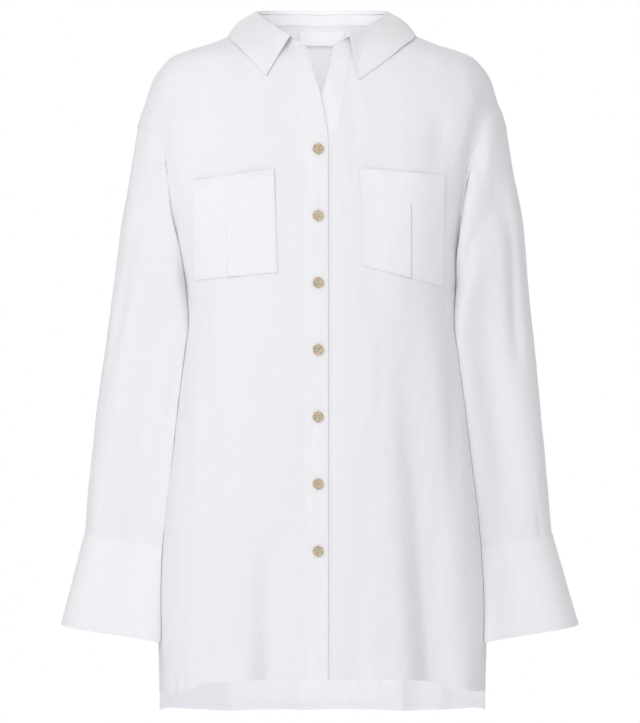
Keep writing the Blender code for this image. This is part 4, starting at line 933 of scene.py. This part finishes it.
# shares of the sleeve's length over which it leaves the armhole's surface, its flat shape and
# its folds, and becomes round, full and pressed against the body
SLEEVE_LEAVES, SLEEVE_FLAT_AT, SLEEVE_ROUND_AT = 0.06, 0.2, 0.35
SLEEVE_PRESSES, SLEEVE_PRESSED_AT = 17.0 * MM, 0.06
SLEEVE_UNFOLDS, SLEEVE_FILLS_AT = 0.09, 0.12
INNER_FULLNESS, FULL_FROM = 0.6, 0.4
# how far the sleeve's end reaches under the panels, and how deep it lies there
SLEEVE_UNDER, SLEEVE_SINKS = 5.0 * MM, 1.2 * MM
SLEEVE_UNDER_SHARES = (1.0, 0.3)
SLEEVE_STITCH_IN, SLEEVE_SLACKENS = 1.5 * MM, 12.0


def sleeve_rows(rows, side):
    """A table of rings for one side: outer and inner x and height, half depth, middle y."""
    table = np.array(rows) * MM
    outer_x = table[:, 1] if side < 0 else table[:, 2]
    return np.column_stack([outer_x, table[:, 0], table[:, 3:]])


def sleeve_frame(row):
    """The middle, the way out, the half width and the half depth of one sleeve ring."""
    outer = np.array([row[0], 0.0, row[1]])
    inner = np.array([row[2], 0.0, row[3]])
    middle = (outer + inner) / 2.0 + (0.0, row[5], 0.0)
    half = np.linalg.norm(outer - inner) / 2.0
    return middle, (outer - inner) / (2.0 * half), half, row[4]


def round_ring():
    """The angle, the way out and the way forward of each point of a ring, from its outer point
    on, and its share of the fullness against the body."""
    angles = np.linspace(0.0, 2.0 * math.pi, 2 * ARMHOLE_PARTS + 1)
    power = 2.0 / SLEEVE_ROUNDNESS
    way_out = np.sign(np.cos(angles)) * np.abs(np.cos(angles)) ** power
    forward = np.sign(np.sin(angles)) * np.abs(np.sin(angles)) ** power
    fuller = np.clip(-way_out, 0.0, 1.0) ** 2
    return angles, way_out, forward, fuller


def way_out_of(points):
    """How far out some points lie, the way straight out there and how fast they go out."""
    step = 0.1 * MM
    share = outside(*points.T)
    slopes = [outside(*(points + shift).T) - share for shift in np.eye(3) * step]
    slope = np.stack(slopes, axis=1) / step
    steepness = np.linalg.norm(slope, axis=1)
    return share, slope / steepness[:, None], steepness


def pushed_out(points, clearance):
    """Points moved straight out until they clear the body form by a distance, or one each."""
    for _ in range(PUSH_ROUNDS):
        share, straight, steepness = way_out_of(points)
        short = np.maximum(0.0, clearance - (share - 1.0) / steepness)
        points = points + straight * short[:, None]
    return points


def clear_of_body(ring, clearance):
    """A ring of a sleeve or a cuff, moved out until it clears the cloth of the body."""
    face = np.where(ring[:, 1] < 0.0, FRONT, BACK)
    normal = body_normal(plan_angle(*ring.T), ring[:, 2])
    drawn = normal**2 @ (FOLD_ASIDE, 1.0, 1.0)
    drawn = fold_depth(ring[:, 0], ring[:, 2], face) * drawn + slack(ring)
    return pushed_out(ring, clearance - drawn)


def sleeve_fold(side, share, angle):
    """How far the folds of a sleeve draw its cloth in."""
    total = np.zeros(np.shape(angle))
    for fold_side, start, end, angle_start, angle_end, spread, depth in SLEEVE_FOLDS:
        if fold_side != side or not start < share < end:
            continue
        along = (share - start) / (end - start)
        middle = angle_start + (angle_end - angle_start) * along
        across = (np.degrees(angle) - middle) / spread
        total = total + depth * MM * math.sin(math.pi * along) * np.exp(-(across**2))
    return total


def make_sleeve(side, name, node):
    """A sleeve from its armhole to its cuff, ring by ring, with its stitches."""
    front, back_hole = armhole(FRONT, side), armhole(BACK, side)
    loop = np.vstack([front, back_hole[::-1][1:]])
    hole = cloth_point(loop[:, 0], loop[:, 1], folds=0.0) * (side, 1.0, 1.0)
    folded = cloth_point(loop[:, 0], loop[:, 1]) * (side, 1.0, 1.0) - hole
    table = sleeve_rows(SLEEVE_ROWS, side)
    middle, way, half, depth = sleeve_frame(table[0])
    local_out = (hole - middle) @ way / half
    local_front = -(hole[:, 1] - middle[1]) / depth
    aside = hole - middle - np.outer((hole - middle) @ way, way)
    aside[:, 1] = 0.0
    lengths = path_lengths(table[:, :4])
    read = smooth_rows(np.column_stack([lengths, table]))
    angles, way_out, forward, fuller = round_ring()
    rings = []
    for share in np.linspace(0.0, 1.0, SLEEVE_RINGS + 1):
        row = read(share * lengths[-1])
        row[2] -= SLEEVE_PRESSES * smooth_step(share / SLEEVE_PRESSED_AT)
        middle, way, half, depth = sleeve_frame(row)
        turn = smooth_step(share / SLEEVE_ROUND_AT)
        out = local_out + (way_out - local_out) * turn
        full = forward * (1.0 + fuller * INNER_FULLNESS * smooth_step(share / FULL_FROM))
        ahead = local_front + (full - local_front) * smooth_step(share / SLEEVE_FILLS_AT)
        flatten = 1.0 - smooth_step(share / SLEEVE_FLAT_AT)
        ring = middle + np.outer(out * half, way) + aside * flatten
        ring[:, 1] = middle[1] - ahead * depth
        ring = ring + folded * (1.0 - smooth_step(share / SLEEVE_UNFOLDS))
        sag = slack(ring * (side, 1.0, 1.0)) * min(1.0, SLEEVE_SLACKENS * share)
        draw = sleeve_fold(side, share, angles) + sag
        ring = (ring + unit(middle - ring) * draw[:, None]) * (side, 1.0, 1.0)
        if share > 0.0:
            ring = clear_of_body(ring, SLEEVE_CLEARANCE * smooth_step(share / SLEEVE_LEAVES))
        rings.append(ring)
    _, straight, _ = way_out_of(rings[0])
    back_up = rings[0] - rings[1]
    back_up = unit(back_up - straight * (back_up * straight).sum(axis=1, keepdims=True))
    under = [rings[0] + back_up * SLEEVE_UNDER * part - straight * SLEEVE_SINKS * part**0.5
             for part in SLEEVE_UNDER_SHARES]
    points = np.array(under + rings)
    points[:, -1] = points[:, 0]
    piece = cloth_piece(name, points, LINEN_WALL, linen, tube=True)
    seam = inset_path(points[len(under):], "top", SLEEVE_STITCH_IN, (float(side), 0.0, 0.0))
    stitches = sew(name + "_stitches", [seam], "linen")
    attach(piece, "root")
    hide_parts(node)


make_sleeve(-1, "sleeve_on_left", "sleeve_left")
make_sleeve(1, "sleeve_on_right", "sleeve_right")


# The cuffs. Deep doubled bands of linen, flared towards the hand and edge-stitched. They hang
# open and stand a little off the sleeve seam, where the sleeve is sewn between the two layers.
CUFF_ROWS = (
    # the same sizes as for the sleeves (mm)
    (-567.5, 273.3, 265.3, 184.5, -583.5, 55.0, 22.0),
    (-605.0, 283.0, 276.0, 187.5, -621.0, 60.0, 22.0),
    (-640.0, 292.0, 286.0, 190.0, -657.0, 63.5, 22.0),
    (-672.0, 300.5, 295.5, 190.5, -691.0, 66.0, 22.0),
)
CUFF_RINGS = 36
CUFF_STANDS_OFF, CUFF_SLACK = 0.5 * MM, 0.5
CUFF_SEAM_STITCH, CUFF_EDGE_STITCH = 1.6 * MM, 4.0 * MM


def make_cuff(side, name, node):
    """A cuff ring by ring, with its two rows of stitches."""
    table = sleeve_rows(CUFF_ROWS, side)
    read = smooth_rows(np.column_stack([np.linspace(0.0, 1.0, len(table)), table]))
    _, way_out, forward, fuller = round_ring()
    rings = []
    for share in np.linspace(0.0, 1.0, CUFF_RINGS + 1):
        row = read(share)
        row[2] -= SLEEVE_PRESSES
        middle, way, half, depth = sleeve_frame(row)
        ring = middle + np.outer(way_out * half, way)
        ring[:, 1] = middle[1] - forward * (1.0 + fuller * INNER_FULLNESS) * depth
        draw = slack(ring * (side, 1.0, 1.0), CUFF_SLACK) - CUFF_STANDS_OFF
        ring = (ring + unit(middle - ring) * draw[:, None]) * (side, 1.0, 1.0)
        rings.append(clear_of_body(ring, SLEEVE_CLEARANCE))
    points = np.array(rings)
    points[:, -1] = points[:, 0]
    piece = cloth_piece(name, points, DOUBLE_WALL, linen_double, tube=True)
    out_way = (float(side), 0.0, 0.0)
    stitches = sew(name + "_stitches", [
        inset_path(points, "top", CUFF_SEAM_STITCH, out_way),
        inset_path(points, "bottom", CUFF_EDGE_STITCH, out_way),
    ], "linen_double")
    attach(piece, "root")
    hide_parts(node)


make_cuff(-1, "cuff_on_left", "cuff_left")
make_cuff(1, "cuff_on_right", "cuff_right")


# The collar. A doubled stand rises from the neckline, and a doubled fall turns down over it and
# lies on the shoulders, with its points to the front. It is stitched along its free edges.
COLLAR_BACK_ROWS = (
    # share, fold x, fold y, fold height, edge x, edge y, edge height (mm)
    (0.0, 0.0, 50.0, 35.5, 0.0, 86.0, -8.0),
    (0.20, 33.0, 47.0, 35.5, 45.0, 80.0, -8.0),
    (0.38, 60.0, 36.0, 35.0, 82.0, 58.0, -5.0),
    (0.54, 75.0, 12.0, 32.0, 107.0, 12.0, 5.0),
)
COLLAR_FRONT_ROWS = {
    # the same, on each side
    -1: (
        (0.68, 67.5, -16.0, 23.0, 103.0, -45.0, -6.0),
        (0.79, 58.5, -36.0, 15.5, 92.0, -63.0, -19.0),
        (0.90, 47.0, -55.0, 6.5, 80.0, -78.0, -30.0),
        (1.0, 34.5, -73.0, -1.5, 63.0, -92.0, -47.0),
    ),
    1: (
        (0.68, 66.5, -16.0, 23.0, 102.0, -45.0, -7.0),
        (0.79, 57.5, -36.0, 15.5, 86.0, -66.0, -21.0),
        (0.90, 45.0, -55.0, 6.5, 65.0, -84.0, -36.0),
        (1.0, 30.0, -74.0, -1.5, 41.0, -96.0, -52.0),
    ),
}
# shares of the way from the neckline to the fold where the stand ends and the leaf starts
STAND_SHARE, FALL_START = 0.84, 0.86
STAND_FOOT, STAND_STITCH_IN, STAND_ROWS, STAND_END_PARTS = 0.2 * MM, 2.2 * MM, 9, 10
FOLD_ROLL, FOLD_DROP, FOLD_LIFT, FOLD_PARTS = 3.6 * MM, 1.6 * MM, 0.9 * MM, 4
FALL_BULGE, FALL_FLAT_FROM, FALL_CLEARANCE, FALL_PARTS = 2.5 * MM, 0.7, 0.9 * MM, 18
# the leaf's stitches stop short of its corners by some columns and rows of its grid
COLLAR_STITCH_IN, CORNER_COLUMNS, CORNER_ROWS = 4.0 * MM, 3, 2


def collar_curve(side, base):
    """Fold and edge points of half the collar over its base, from the back to the front."""
    rows = np.array(COLLAR_BACK_ROWS + COLLAR_FRONT_ROWS[side])
    rows = np.column_stack([rows[:, 0], rows[:, 1:] * MM])
    lengths = path_lengths(base)
    values = smooth_rows(rows)(lengths / lengths[-1])
    return values[:, :3] * (side, 1.0, 1.0), values[:, 3:] * (side, 1.0, 1.0)


collar_back, collar_halves = neck_back(), []
for side in (-1, 1):
    middle = len(collar_back) // 2
    half = collar_back[middle:] if side > 0 else collar_back[middle::-1]
    collar_front = neck_front(side)
    free_x, free_z = neck_end(side)
    free_end = body_point(body_angle(free_x, free_z, FRONT), free_z)[:2]
    end = np.linspace(collar_front[0], free_end, STAND_END_PARTS + 1)[1:]
    base = on_shoulder(np.vstack([half, collar_front[::-1][1:], end]))
    collar_halves.append((base, *collar_curve(side, base)))
collar_base, collar_fold, collar_edge = [
    np.vstack([left[::-1], right[1:]]) for left, right in zip(*collar_halves)]

stand_foot = collar_base + (0.0, 0.0, STAND_FOOT)
stand_top = collar_base + (collar_fold - collar_base) * STAND_SHARE
stand_share = np.linspace(0.0, 1.0, STAND_ROWS)[:, None, None]
stand_points = stand_foot[None] * (1.0 - stand_share) + stand_top[None] * stand_share
stand = cloth_piece("collar_band", stand_points, DOUBLE_WALL, linen_double)
stand_stitches = sew("collar_band_stitches", [
    inset_path(stand_points, "top", STAND_STITCH_IN, BEHIND),
], "linen_double")
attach(stand, "root")
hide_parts("collar_stand")

fall_start = collar_base + (collar_fold - collar_base) * FALL_START
fall_out = unit((collar_edge - collar_fold) * (1.0, 1.0, 0.0))
fall_roll = collar_fold + fall_out * FOLD_ROLL - (0.0, 0.0, FOLD_DROP)
fold_steps = np.linspace(0.0, 1.0, FOLD_PARTS + 1)
fall_rows = [fall_start + (collar_fold - fall_start) * step for step in fold_steps]
for step in fold_steps[1:]:
    lift = (0.0, 0.0, FOLD_LIFT * math.sin(math.pi * step))
    fall_rows.append(collar_fold + (fall_roll - collar_fold) * step + lift)
along_collar = np.abs(np.linspace(-1.0, 1.0, len(collar_edge)))[:, None]
full_middle = 1.0 - smooth_step((along_collar - FALL_FLAT_FROM) / (1.0 - FALL_FLAT_FROM))
for share in np.linspace(0.0, 1.0, FALL_PARTS + 1)[1:]:
    swell = FALL_BULGE * math.sin(math.pi * share) * full_middle
    row = fall_roll + (collar_edge - fall_roll) * share + (fall_out + UP) * swell
    fall_rows.append(pushed_out(row, FALL_CLEARANCE))
fall_points = np.stack(fall_rows)[:, ::-1]
fall = cloth_piece("collar_leaf", fall_points, DOUBLE_WALL, linen_double, outward=UP, offset=1.0)
fall_face = fall_points + grid_normals(fall_points, UP) * DOUBLE_WALL
fall_leaf = fall_face[2 * FOLD_PARTS:]
fall_stitches = sew("collar_leaf_stitches", [
    inset_path(fall_leaf, "bottom", COLLAR_STITCH_IN, UP)[CORNER_COLUMNS:-CORNER_COLUMNS],
    inset_path(fall_leaf, "first", COLLAR_STITCH_IN, UP)[:-CORNER_ROWS],
    inset_path(fall_leaf, "last", COLLAR_STITCH_IN, UP)[:-CORNER_ROWS],
], "linen_double")
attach(fall, "root")
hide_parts("collar_fall")


# The pockets. Two patch pockets of the same linen on the chest, each with a deep hem at its mouth
# and one knife pleat below it. They are stitched down on three sides and follow the cloth there.
POCKETS = {
    # upper outer, upper inner, lower inner, lower outer corner (x and height, mm)
    -1: ((-145.0, -166.0), (-54.0, -153.0), (-50.0, -269.5), (-144.5, -278.0)),
    1: ((138.0, -160.0), (42.5, -152.5), (45.5, -262.0), (136.0, -285.0)),
}
POCKET_PARTS = 48
POCKET_HEM, POCKET_HEM_RAISE = 0.30, 0.5 * MM
POCKET_STEP, POCKET_LAID_ON, POCKET_STITCH_IN = 0.010, 0.35 * MM, 1.8 * MM
PLEAT_AT, PLEAT_WIDTH, PLEAT_RAISE = 0.40, 0.24, 1.3 * MM
MOUTH_SLACK_DOWN = 0.05
MOUTH_ROWS = {
    # middle of the slack stretch across the mouth, its spread (shares) and how far it gapes (mm)
    -1: ((0.12, 0.07, 3.2), (0.70, 0.14, 3.0)),
    1: ((0.30, 0.12, 1.4), (0.78, 0.10, 1.8)),
}


def laid_on(panel, x, height):
    """Where the cloth of a panel lies at some points, seen from the front."""
    tree = BVHTree.FromObject(panel, bpy.context.evaluated_depsgraph_get())
    depths = np.zeros(np.shape(x))
    for place in np.ndindex(np.shape(x)):
        start = Vector((float(x[place]), -1.0, float(height[place])))
        depths[place] = tree.ray_cast(start, Vector(BEHIND))[0].y
    return depths


def make_pocket(side, name, node):
    """A pocket laid on its front, with its hem, pleat, gaping mouth and stitches."""
    corners = np.array(POCKETS[side]) * MM
    parts = np.linspace(0.0, 1.0, POCKET_PARTS + 1)
    pleat_columns = (PLEAT_AT - POCKET_STEP, PLEAT_AT, PLEAT_AT + PLEAT_WIDTH)
    across = np.sort(np.concatenate([parts, pleat_columns]))
    down = np.sort(np.concatenate([parts, (POCKET_HEM, POCKET_HEM + POCKET_STEP)]))
    u, v = np.meshgrid(across, down)
    top = corners[0] + (corners[1] - corners[0]) * u[..., None]
    low = corners[3] + (corners[2] - corners[3]) * u[..., None]
    flat = top + (low - top) * v[..., None]
    raised = POCKET_LAID_ON + LINEN_WALL + POCKET_HEM_RAISE * (v <= POCKET_HEM)
    inside_pleat = (u >= PLEAT_AT) & (u <= PLEAT_AT + PLEAT_WIDTH) & (v > POCKET_HEM)
    slope = 1.0 - (u - PLEAT_AT) / PLEAT_WIDTH
    raised = raised + np.where(inside_pleat, PLEAT_RAISE * slope, 0.0)
    for centre, spread, gape in MOUTH_ROWS[side]:
        aside, below = (u - centre) / spread, v / MOUTH_SLACK_DOWN
        raised = raised + gape * MM * np.exp(-(aside**2) - below**2)
    angle = body_angle(flat[..., 0], flat[..., 1], FRONT)
    normal = body_normal(angle, flat[..., 1])
    depth = laid_on(fronts[side], flat[..., 0], flat[..., 1])
    points = np.stack([flat[..., 0], depth, flat[..., 1]], axis=-1) + normal * raised[..., None]
    piece = cloth_piece(name, points, LINEN_WALL, linen_double, outward=AHEAD)
    stitches = sew(name + "_stitches", [
        inset_path(points, edge, POCKET_STITCH_IN, AHEAD) for edge in ("first", "last", "bottom")
    ], "linen_double")
    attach(piece, "root")
    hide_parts(node)


make_pocket(-1, "pocket_on_left", "pocket_left")
make_pocket(1, "pocket_on_right", "pocket_right")


# The neck label. A plain woven tape with nothing on it, sewn to the inside of the yoke below the
# neck seam, and hanging a little off it at its lower edge.
LABEL_HALF_WIDTH, LABEL_ACROSS = 26.0 * MM, 40
LABEL_TOP, LABEL_LOW, LABEL_DOWN = 15.0 * MM, -1.5 * MM, 14
LABEL_WALL, LABEL_LAID_ON, LABEL_HANGS_OFF = 0.5 * MM, 1.2 * MM, 4.0 * MM
LABEL_STITCH_IN = 1.2 * MM
# the tape's darker colour is mostly the weave's painted shade at the yarns' edges, between them and
# where they pass under, since its slubs are faint
tape = woven_material("woven tape", (0.82, 0.82, 0.84), (0.74, 0.74, 0.76),
                      {"Yarns per metre": 3600.0, "Slub": 0.1},
                      {"Roughness": 0.55, "Sheen Weight": 0.2},
                      {"Strength": 0.3, "Distance": 0.05 * MM})
label_x, label_share = np.meshgrid(
    np.linspace(-LABEL_HALF_WIDTH, LABEL_HALF_WIDTH, LABEL_ACROSS + 1),
    np.linspace(0.0, 1.0, LABEL_DOWN + 1))
label_z = LABEL_TOP + (LABEL_LOW - LABEL_TOP) * label_share
label_in = LINEN_WALL + LABEL_LAID_ON + LABEL_HANGS_OFF * label_share
label_points = cloth_point(body_angle(label_x, label_z, BACK), label_z, -label_in)
label = cloth_piece("bare_label", label_points, LABEL_WALL, tape, outward=AHEAD)
label_stitches = sew("bare_label_stitches", [
    inset_path(label_points, "top", LABEL_STITCH_IN, AHEAD)
], "label_tape")
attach(label, "root")
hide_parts("neck_label")


# The buttons. Seven flat four-hole buttons of tan horn or nut, with a raised rim and a dished
# middle, sewn through with thread. Each sits over its upright worked buttonhole.
BUTTON_COUNT, BUTTON_PITCH = 7, 75.3 * MM
BUTTON_X, BUTTON_TOP_Z = -4.5 * MM, -130.5 * MM
BUTTON_RADIUS, BUTTON_THICKNESS, BUTTON_SIDES = 5.9 * MM, 2.4 * MM, 48
BUTTON_RIM, BUTTON_EDGE, BUTTON_DISH = 1.4 * MM, 0.5 * MM, 0.5 * MM
RIM_SLOPE_IN, RIM_SLOPE_OUT, RIM_PARTS = 0.2 * MM, 0.3 * MM, 4
HOLES, HOLE_RADIUS, HOLE_OFFSET, HOLE_SIDES = 4, 0.75 * MM, 1.5 * MM, 16
BUTTON_LAID_ON, BUTTON_SHARP = 0.25 * MM, math.radians(40.0)
TURN_MOST, TURN_STEP = 0.5, 2.4
CROSSING_BOW, CROSSING_PARTS = 0.35 * MM, 8
BUTTONHOLE_LENGTH, BUTTONHOLE_WIDTH, BUTTONHOLE_PARTS = 15.0 * MM, 2.0 * MM, 16
BUTTON_THREAD, BUTTONHOLE_THREAD = (0.35 * MM, 0.7 * MM, 0.5 * MM), (0.45 * MM, 0.6 * MM, 0.6 * MM)


def button_material():
    """Tan horn or nut with a darker grain."""
    material, tree, shader = new_material("tan button", {"Roughness": 0.42})
    stretch = add_node(tree, "ShaderNodeMapping", {
        "Vector": tree.nodes.new("ShaderNodeTexCoord").outputs["Object"],
        "Scale": (500.0, 300.0, 900.0), "Rotation": (0.0, 0.5, 0.0)})
    grain = add_node(tree, "ShaderNodeTexNoise", {
        "Scale": 1.0, "Detail": 4.0, "Vector": stretch.outputs[0]})
    ramp = add_node(tree, "ShaderNodeValToRGB", {0: grain.outputs["Fac"]})
    colours = ((0.30, (0.32, 0.24, 0.14, 1.0)), (0.72, (0.74, 0.61, 0.42, 1.0)))
    for element, (position, colour) in zip(ramp.color_ramp.elements, colours):
        element.position, element.color = position, colour
    bump = add_node(tree, "ShaderNodeBump", {
        "Strength": 0.25, "Distance": 0.05 * MM, "Height": grain.outputs["Fac"]})
    feed(tree, shader, {"Base Color": ramp.outputs[0], "Normal": bump.outputs[0]})
    return material


def hole_place(number, spin=0.0):
    """The middle of one of a button's four holes, from the button's own middle."""
    way = math.pi / 4.0 + number * math.pi / 2.0 + spin
    return HOLE_OFFSET * math.cos(way), HOLE_OFFSET * math.sin(way)


def pin_mesh():
    """Four round pins, where a button's holes go."""
    points, faces = [], []
    for number in range(HOLES):
        x, y = hole_place(number)
        start = len(points)
        for z in (-BUTTON_THICKNESS, 2.0 * BUTTON_THICKNESS):
            for k in range(HOLE_SIDES):
                way = 2.0 * math.pi * k / HOLE_SIDES
                points.append((x + HOLE_RADIUS * math.cos(way), y + HOLE_RADIUS * math.sin(way), z))
        low = [start + k for k in range(HOLE_SIDES)]
        high = [start + HOLE_SIDES + k for k in range(HOLE_SIDES)]
        faces += [low[::-1], high]
        for k in range(HOLE_SIDES):
            after = (k + 1) % HOLE_SIDES
            faces.append([low[k], low[after], high[after], high[k]])
    pins = bpy.data.meshes.new("button_pins")
    pins.from_pydata(points, [], faces)
    return pins


def button_mesh():
    """A turned button with four holes through it, its back at height 0 and its face up."""
    rim_x, edge_x = BUTTON_RADIUS - BUTTON_RIM, BUTTON_RADIUS - BUTTON_EDGE
    face_z, edge_z = BUTTON_THICKNESS - BUTTON_DISH, BUTTON_THICKNESS - BUTTON_EDGE
    profile = [(0.0, face_z), (rim_x - RIM_SLOPE_IN - RIM_SLOPE_OUT, face_z)]
    for step in np.linspace(0.0, 1.0, RIM_PARTS + 1):
        x = rim_x - RIM_SLOPE_IN + (RIM_SLOPE_IN + RIM_SLOPE_OUT) * step
        profile.append((x, BUTTON_THICKNESS - BUTTON_DISH * (1.0 - smooth_step(step))))
    for turn in np.linspace(0.0, math.pi / 2.0, RIM_PARTS + 1):
        profile.append((edge_x + BUTTON_EDGE * math.sin(turn),
                        edge_z + BUTTON_EDGE * math.cos(turn)))
    profile += [(BUTTON_RADIUS, BUTTON_EDGE), (edge_x, 0.0), (0.0, 0.0)]
    mesh = bpy.data.meshes.new("button_profile")
    edges = [(i, i + 1) for i in range(len(profile) - 1)]
    mesh.from_pydata([(x, 0.0, z) for x, z in profile], edges, [])
    blank = add_piece("button_blank", mesh, button_material())
    turn = blank.modifiers.new("turn", "SCREW")
    turn.steps = turn.render_steps = BUTTON_SIDES
    turn.use_merge_vertices = True
    turn.merge_threshold = 0.01 * MM
    cutter = add_piece("button_pins", pin_mesh())
    cut = blank.modifiers.new("holes", "BOOLEAN")
    cut.operation, cut.object = "DIFFERENCE", cutter
    made = finished_mesh(blank)
    bpy.data.objects.remove(cutter)
    return made


def thread_crossings(height, face_y, spin):
    """The two crossed stitches that hold a button, each bowed over its middle."""
    line = np.linspace(0.0, 1.0, CROSSING_PARTS + 1)
    paths = []
    for number in (0, 1):
        start = np.array(hole_place(number, spin))
        end = np.array(hole_place(number + 2, spin))
        x, z = (start + (end - start) * line[:, None]).T
        y = face_y - CROSSING_BOW * np.sin(math.pi * line)
        paths.append(np.column_stack([BUTTON_X + x, y, height + z]))
    return paths


def button_seat(height):
    """Where the back of a button rests, on the foremost cloth under its rim."""
    turns = np.linspace(0.0, 2.0 * math.pi, BUTTON_SIDES + 1)
    rim_z = height + BUTTON_RADIUS * np.sin(turns)
    angle = body_angle(BUTTON_X + BUTTON_RADIUS * np.cos(turns), rim_z, FRONT)
    return float(cloth_point(angle, rim_z, PLACKET_RAISE + BUTTON_LAID_ON)[:, 1].min())


button_form = button_mesh()
form_points = np.zeros(len(button_form.vertices) * 3)
button_form.vertices.foreach_get("co", form_points)
form_x, form_y, form_z = form_points.reshape(-1, 3).T
for number in range(BUTTON_COUNT):
    height = BUTTON_TOP_Z - number * BUTTON_PITCH
    seat_y = button_seat(height)
    spin = TURN_MOST * math.sin(TURN_STEP * number)
    x = BUTTON_X + form_x * math.cos(spin) - form_y * math.sin(spin)
    z = height + form_x * math.sin(spin) + form_y * math.cos(spin)
    mesh = button_form.copy()
    mesh.vertices.foreach_set("co", np.column_stack([x, seat_y - form_z, z]).ravel())
    mesh.update()
    mesh.shade_smooth()
    mesh.set_sharp_from_angle(angle=BUTTON_SHARP)
    button = add_piece(f"shirt_button_{number + 1}", mesh)
    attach(button, "root")
    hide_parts(f"button_{number + 1}")
    crossings = thread_crossings(height, seat_y - BUTTON_THICKNESS + BUTTON_DISH, spin)
    sew(f"button_{number + 1}_thread", crossings, "linen_double", *BUTTON_THREAD)
    down = np.linspace(-0.5, 0.5, BUTTONHOLE_PARTS + 1)
    edge = np.full(BUTTONHOLE_PARTS + 1, 0.5)
    loop_z = height + np.r_[down, down[::-1], down[:1]] * BUTTONHOLE_LENGTH
    loop_x = BUTTON_X + np.r_[-edge, edge, -edge[:1]] * BUTTONHOLE_WIDTH
    worked = cloth_point(body_angle(loop_x, loop_z, FRONT), loop_z, PLACKET_RAISE + STITCH_LIFT)
    sew(f"buttonhole_{number + 1}", [worked], "linen_double", *BUTTONHOLE_THREAD)


# The studio. A pale floor lies below where the wearer would stand. A large soft light stands in
# front on the left, with weaker ones in front, above and behind. Small ones brighten the inside of
# the neck and of the hem. The surround is white and lights the shirt less than it shines itself.
FLOOR_HALF, FLOOR_HEIGHT = 2.5, -1.35
SURROUND_LIGHTS = 0.67
LAMPS = (
    # name, place and target (m), power (W), size (m), spread (degrees)
    ("key", (-1.5, -2.75, 0.75), (0.0, 0.0, -0.4), 27.5, 1.5, 180.0),
    ("front", (0.2, -3.4, -0.1), (0.0, 0.0, -0.4), 11.0, 0.7, 180.0),
    ("top", (-1.1, -0.9, 1.4), (0.0, 0.0, -0.1), 2.4, 1.0, 180.0),
    ("back", (0.4, 2.6, 1.0), (0.0, 0.0, -0.4), 16.0, 1.6, 180.0),
    ("neck", (0.0, -0.02, -0.14), (0.0, 0.04, 0.02), 0.12, 0.08, 180.0),
    ("label", (0.0, -0.13, 0.085), (0.0, 0.07, -0.01), 0.008, 0.05, 45.0),
    ("hem", (0.0, 0.0, -0.62), (0.0, 0.12, -0.75), 0.28, 0.20, 180.0),
)

pale, _, _ = new_material("pale floor", {"Base Color": (0.92, 0.92, 0.92, 1.0), "Roughness": 0.8})
floor_mesh = bpy.data.meshes.new("floor")
floor_corners = ((-1.0, -1.0), (1.0, -1.0), (1.0, 1.0), (-1.0, 1.0))
floor_points = [(FLOOR_HALF * x, FLOOR_HALF * y, FLOOR_HEIGHT) for x, y in floor_corners]
floor_mesh.from_pydata(floor_points, [], [(0, 1, 2, 3)])
add_piece("floor", floor_mesh, pale)

for name, place, target, power, size, spread in LAMPS:
    lamp = bpy.data.lights.new(name, "AREA")
    lamp.energy, lamp.size, lamp.spread = power, size, math.radians(spread)
    light = bpy.data.objects.new(name, lamp)
    light.location = place
    aim = Vector(target) - Vector(place)
    light.rotation_euler = aim.to_track_quat("-Z", "Y").to_euler()
    bpy.context.scene.collection.objects.link(light)

world = bpy.data.worlds.new("white surround")
world.use_nodes = True
surround = world.node_tree
rays = surround.nodes.new("ShaderNodeLightPath").outputs["Is Camera Ray"]
level = add_node(surround, "ShaderNodeMapRange",
                 {"To Min": SURROUND_LIGHTS, "To Max": 1.0, "Value": rays})
feed(surround, surround.nodes["Background"],
     {"Color": (1.0, 1.0, 1.0, 1.0), "Strength": level.outputs[0]})
bpy.context.scene.world = world
bpy.context.scene.view_settings.view_transform = "Standard"

lens = bpy.data.cameras.new("photo camera")
lens.sensor_width, lens.lens, lens.clip_end = 36.0, 216.5, 50.0
camera = bpy.data.objects.new("photo camera", lens)
camera.location = (-0.0023, -5.0, -0.3697)
camera.rotation_euler = (math.pi / 2.0, 0.0, 0.0)
bpy.context.scene.collection.objects.link(camera)
bpy.context.scene.camera = camera
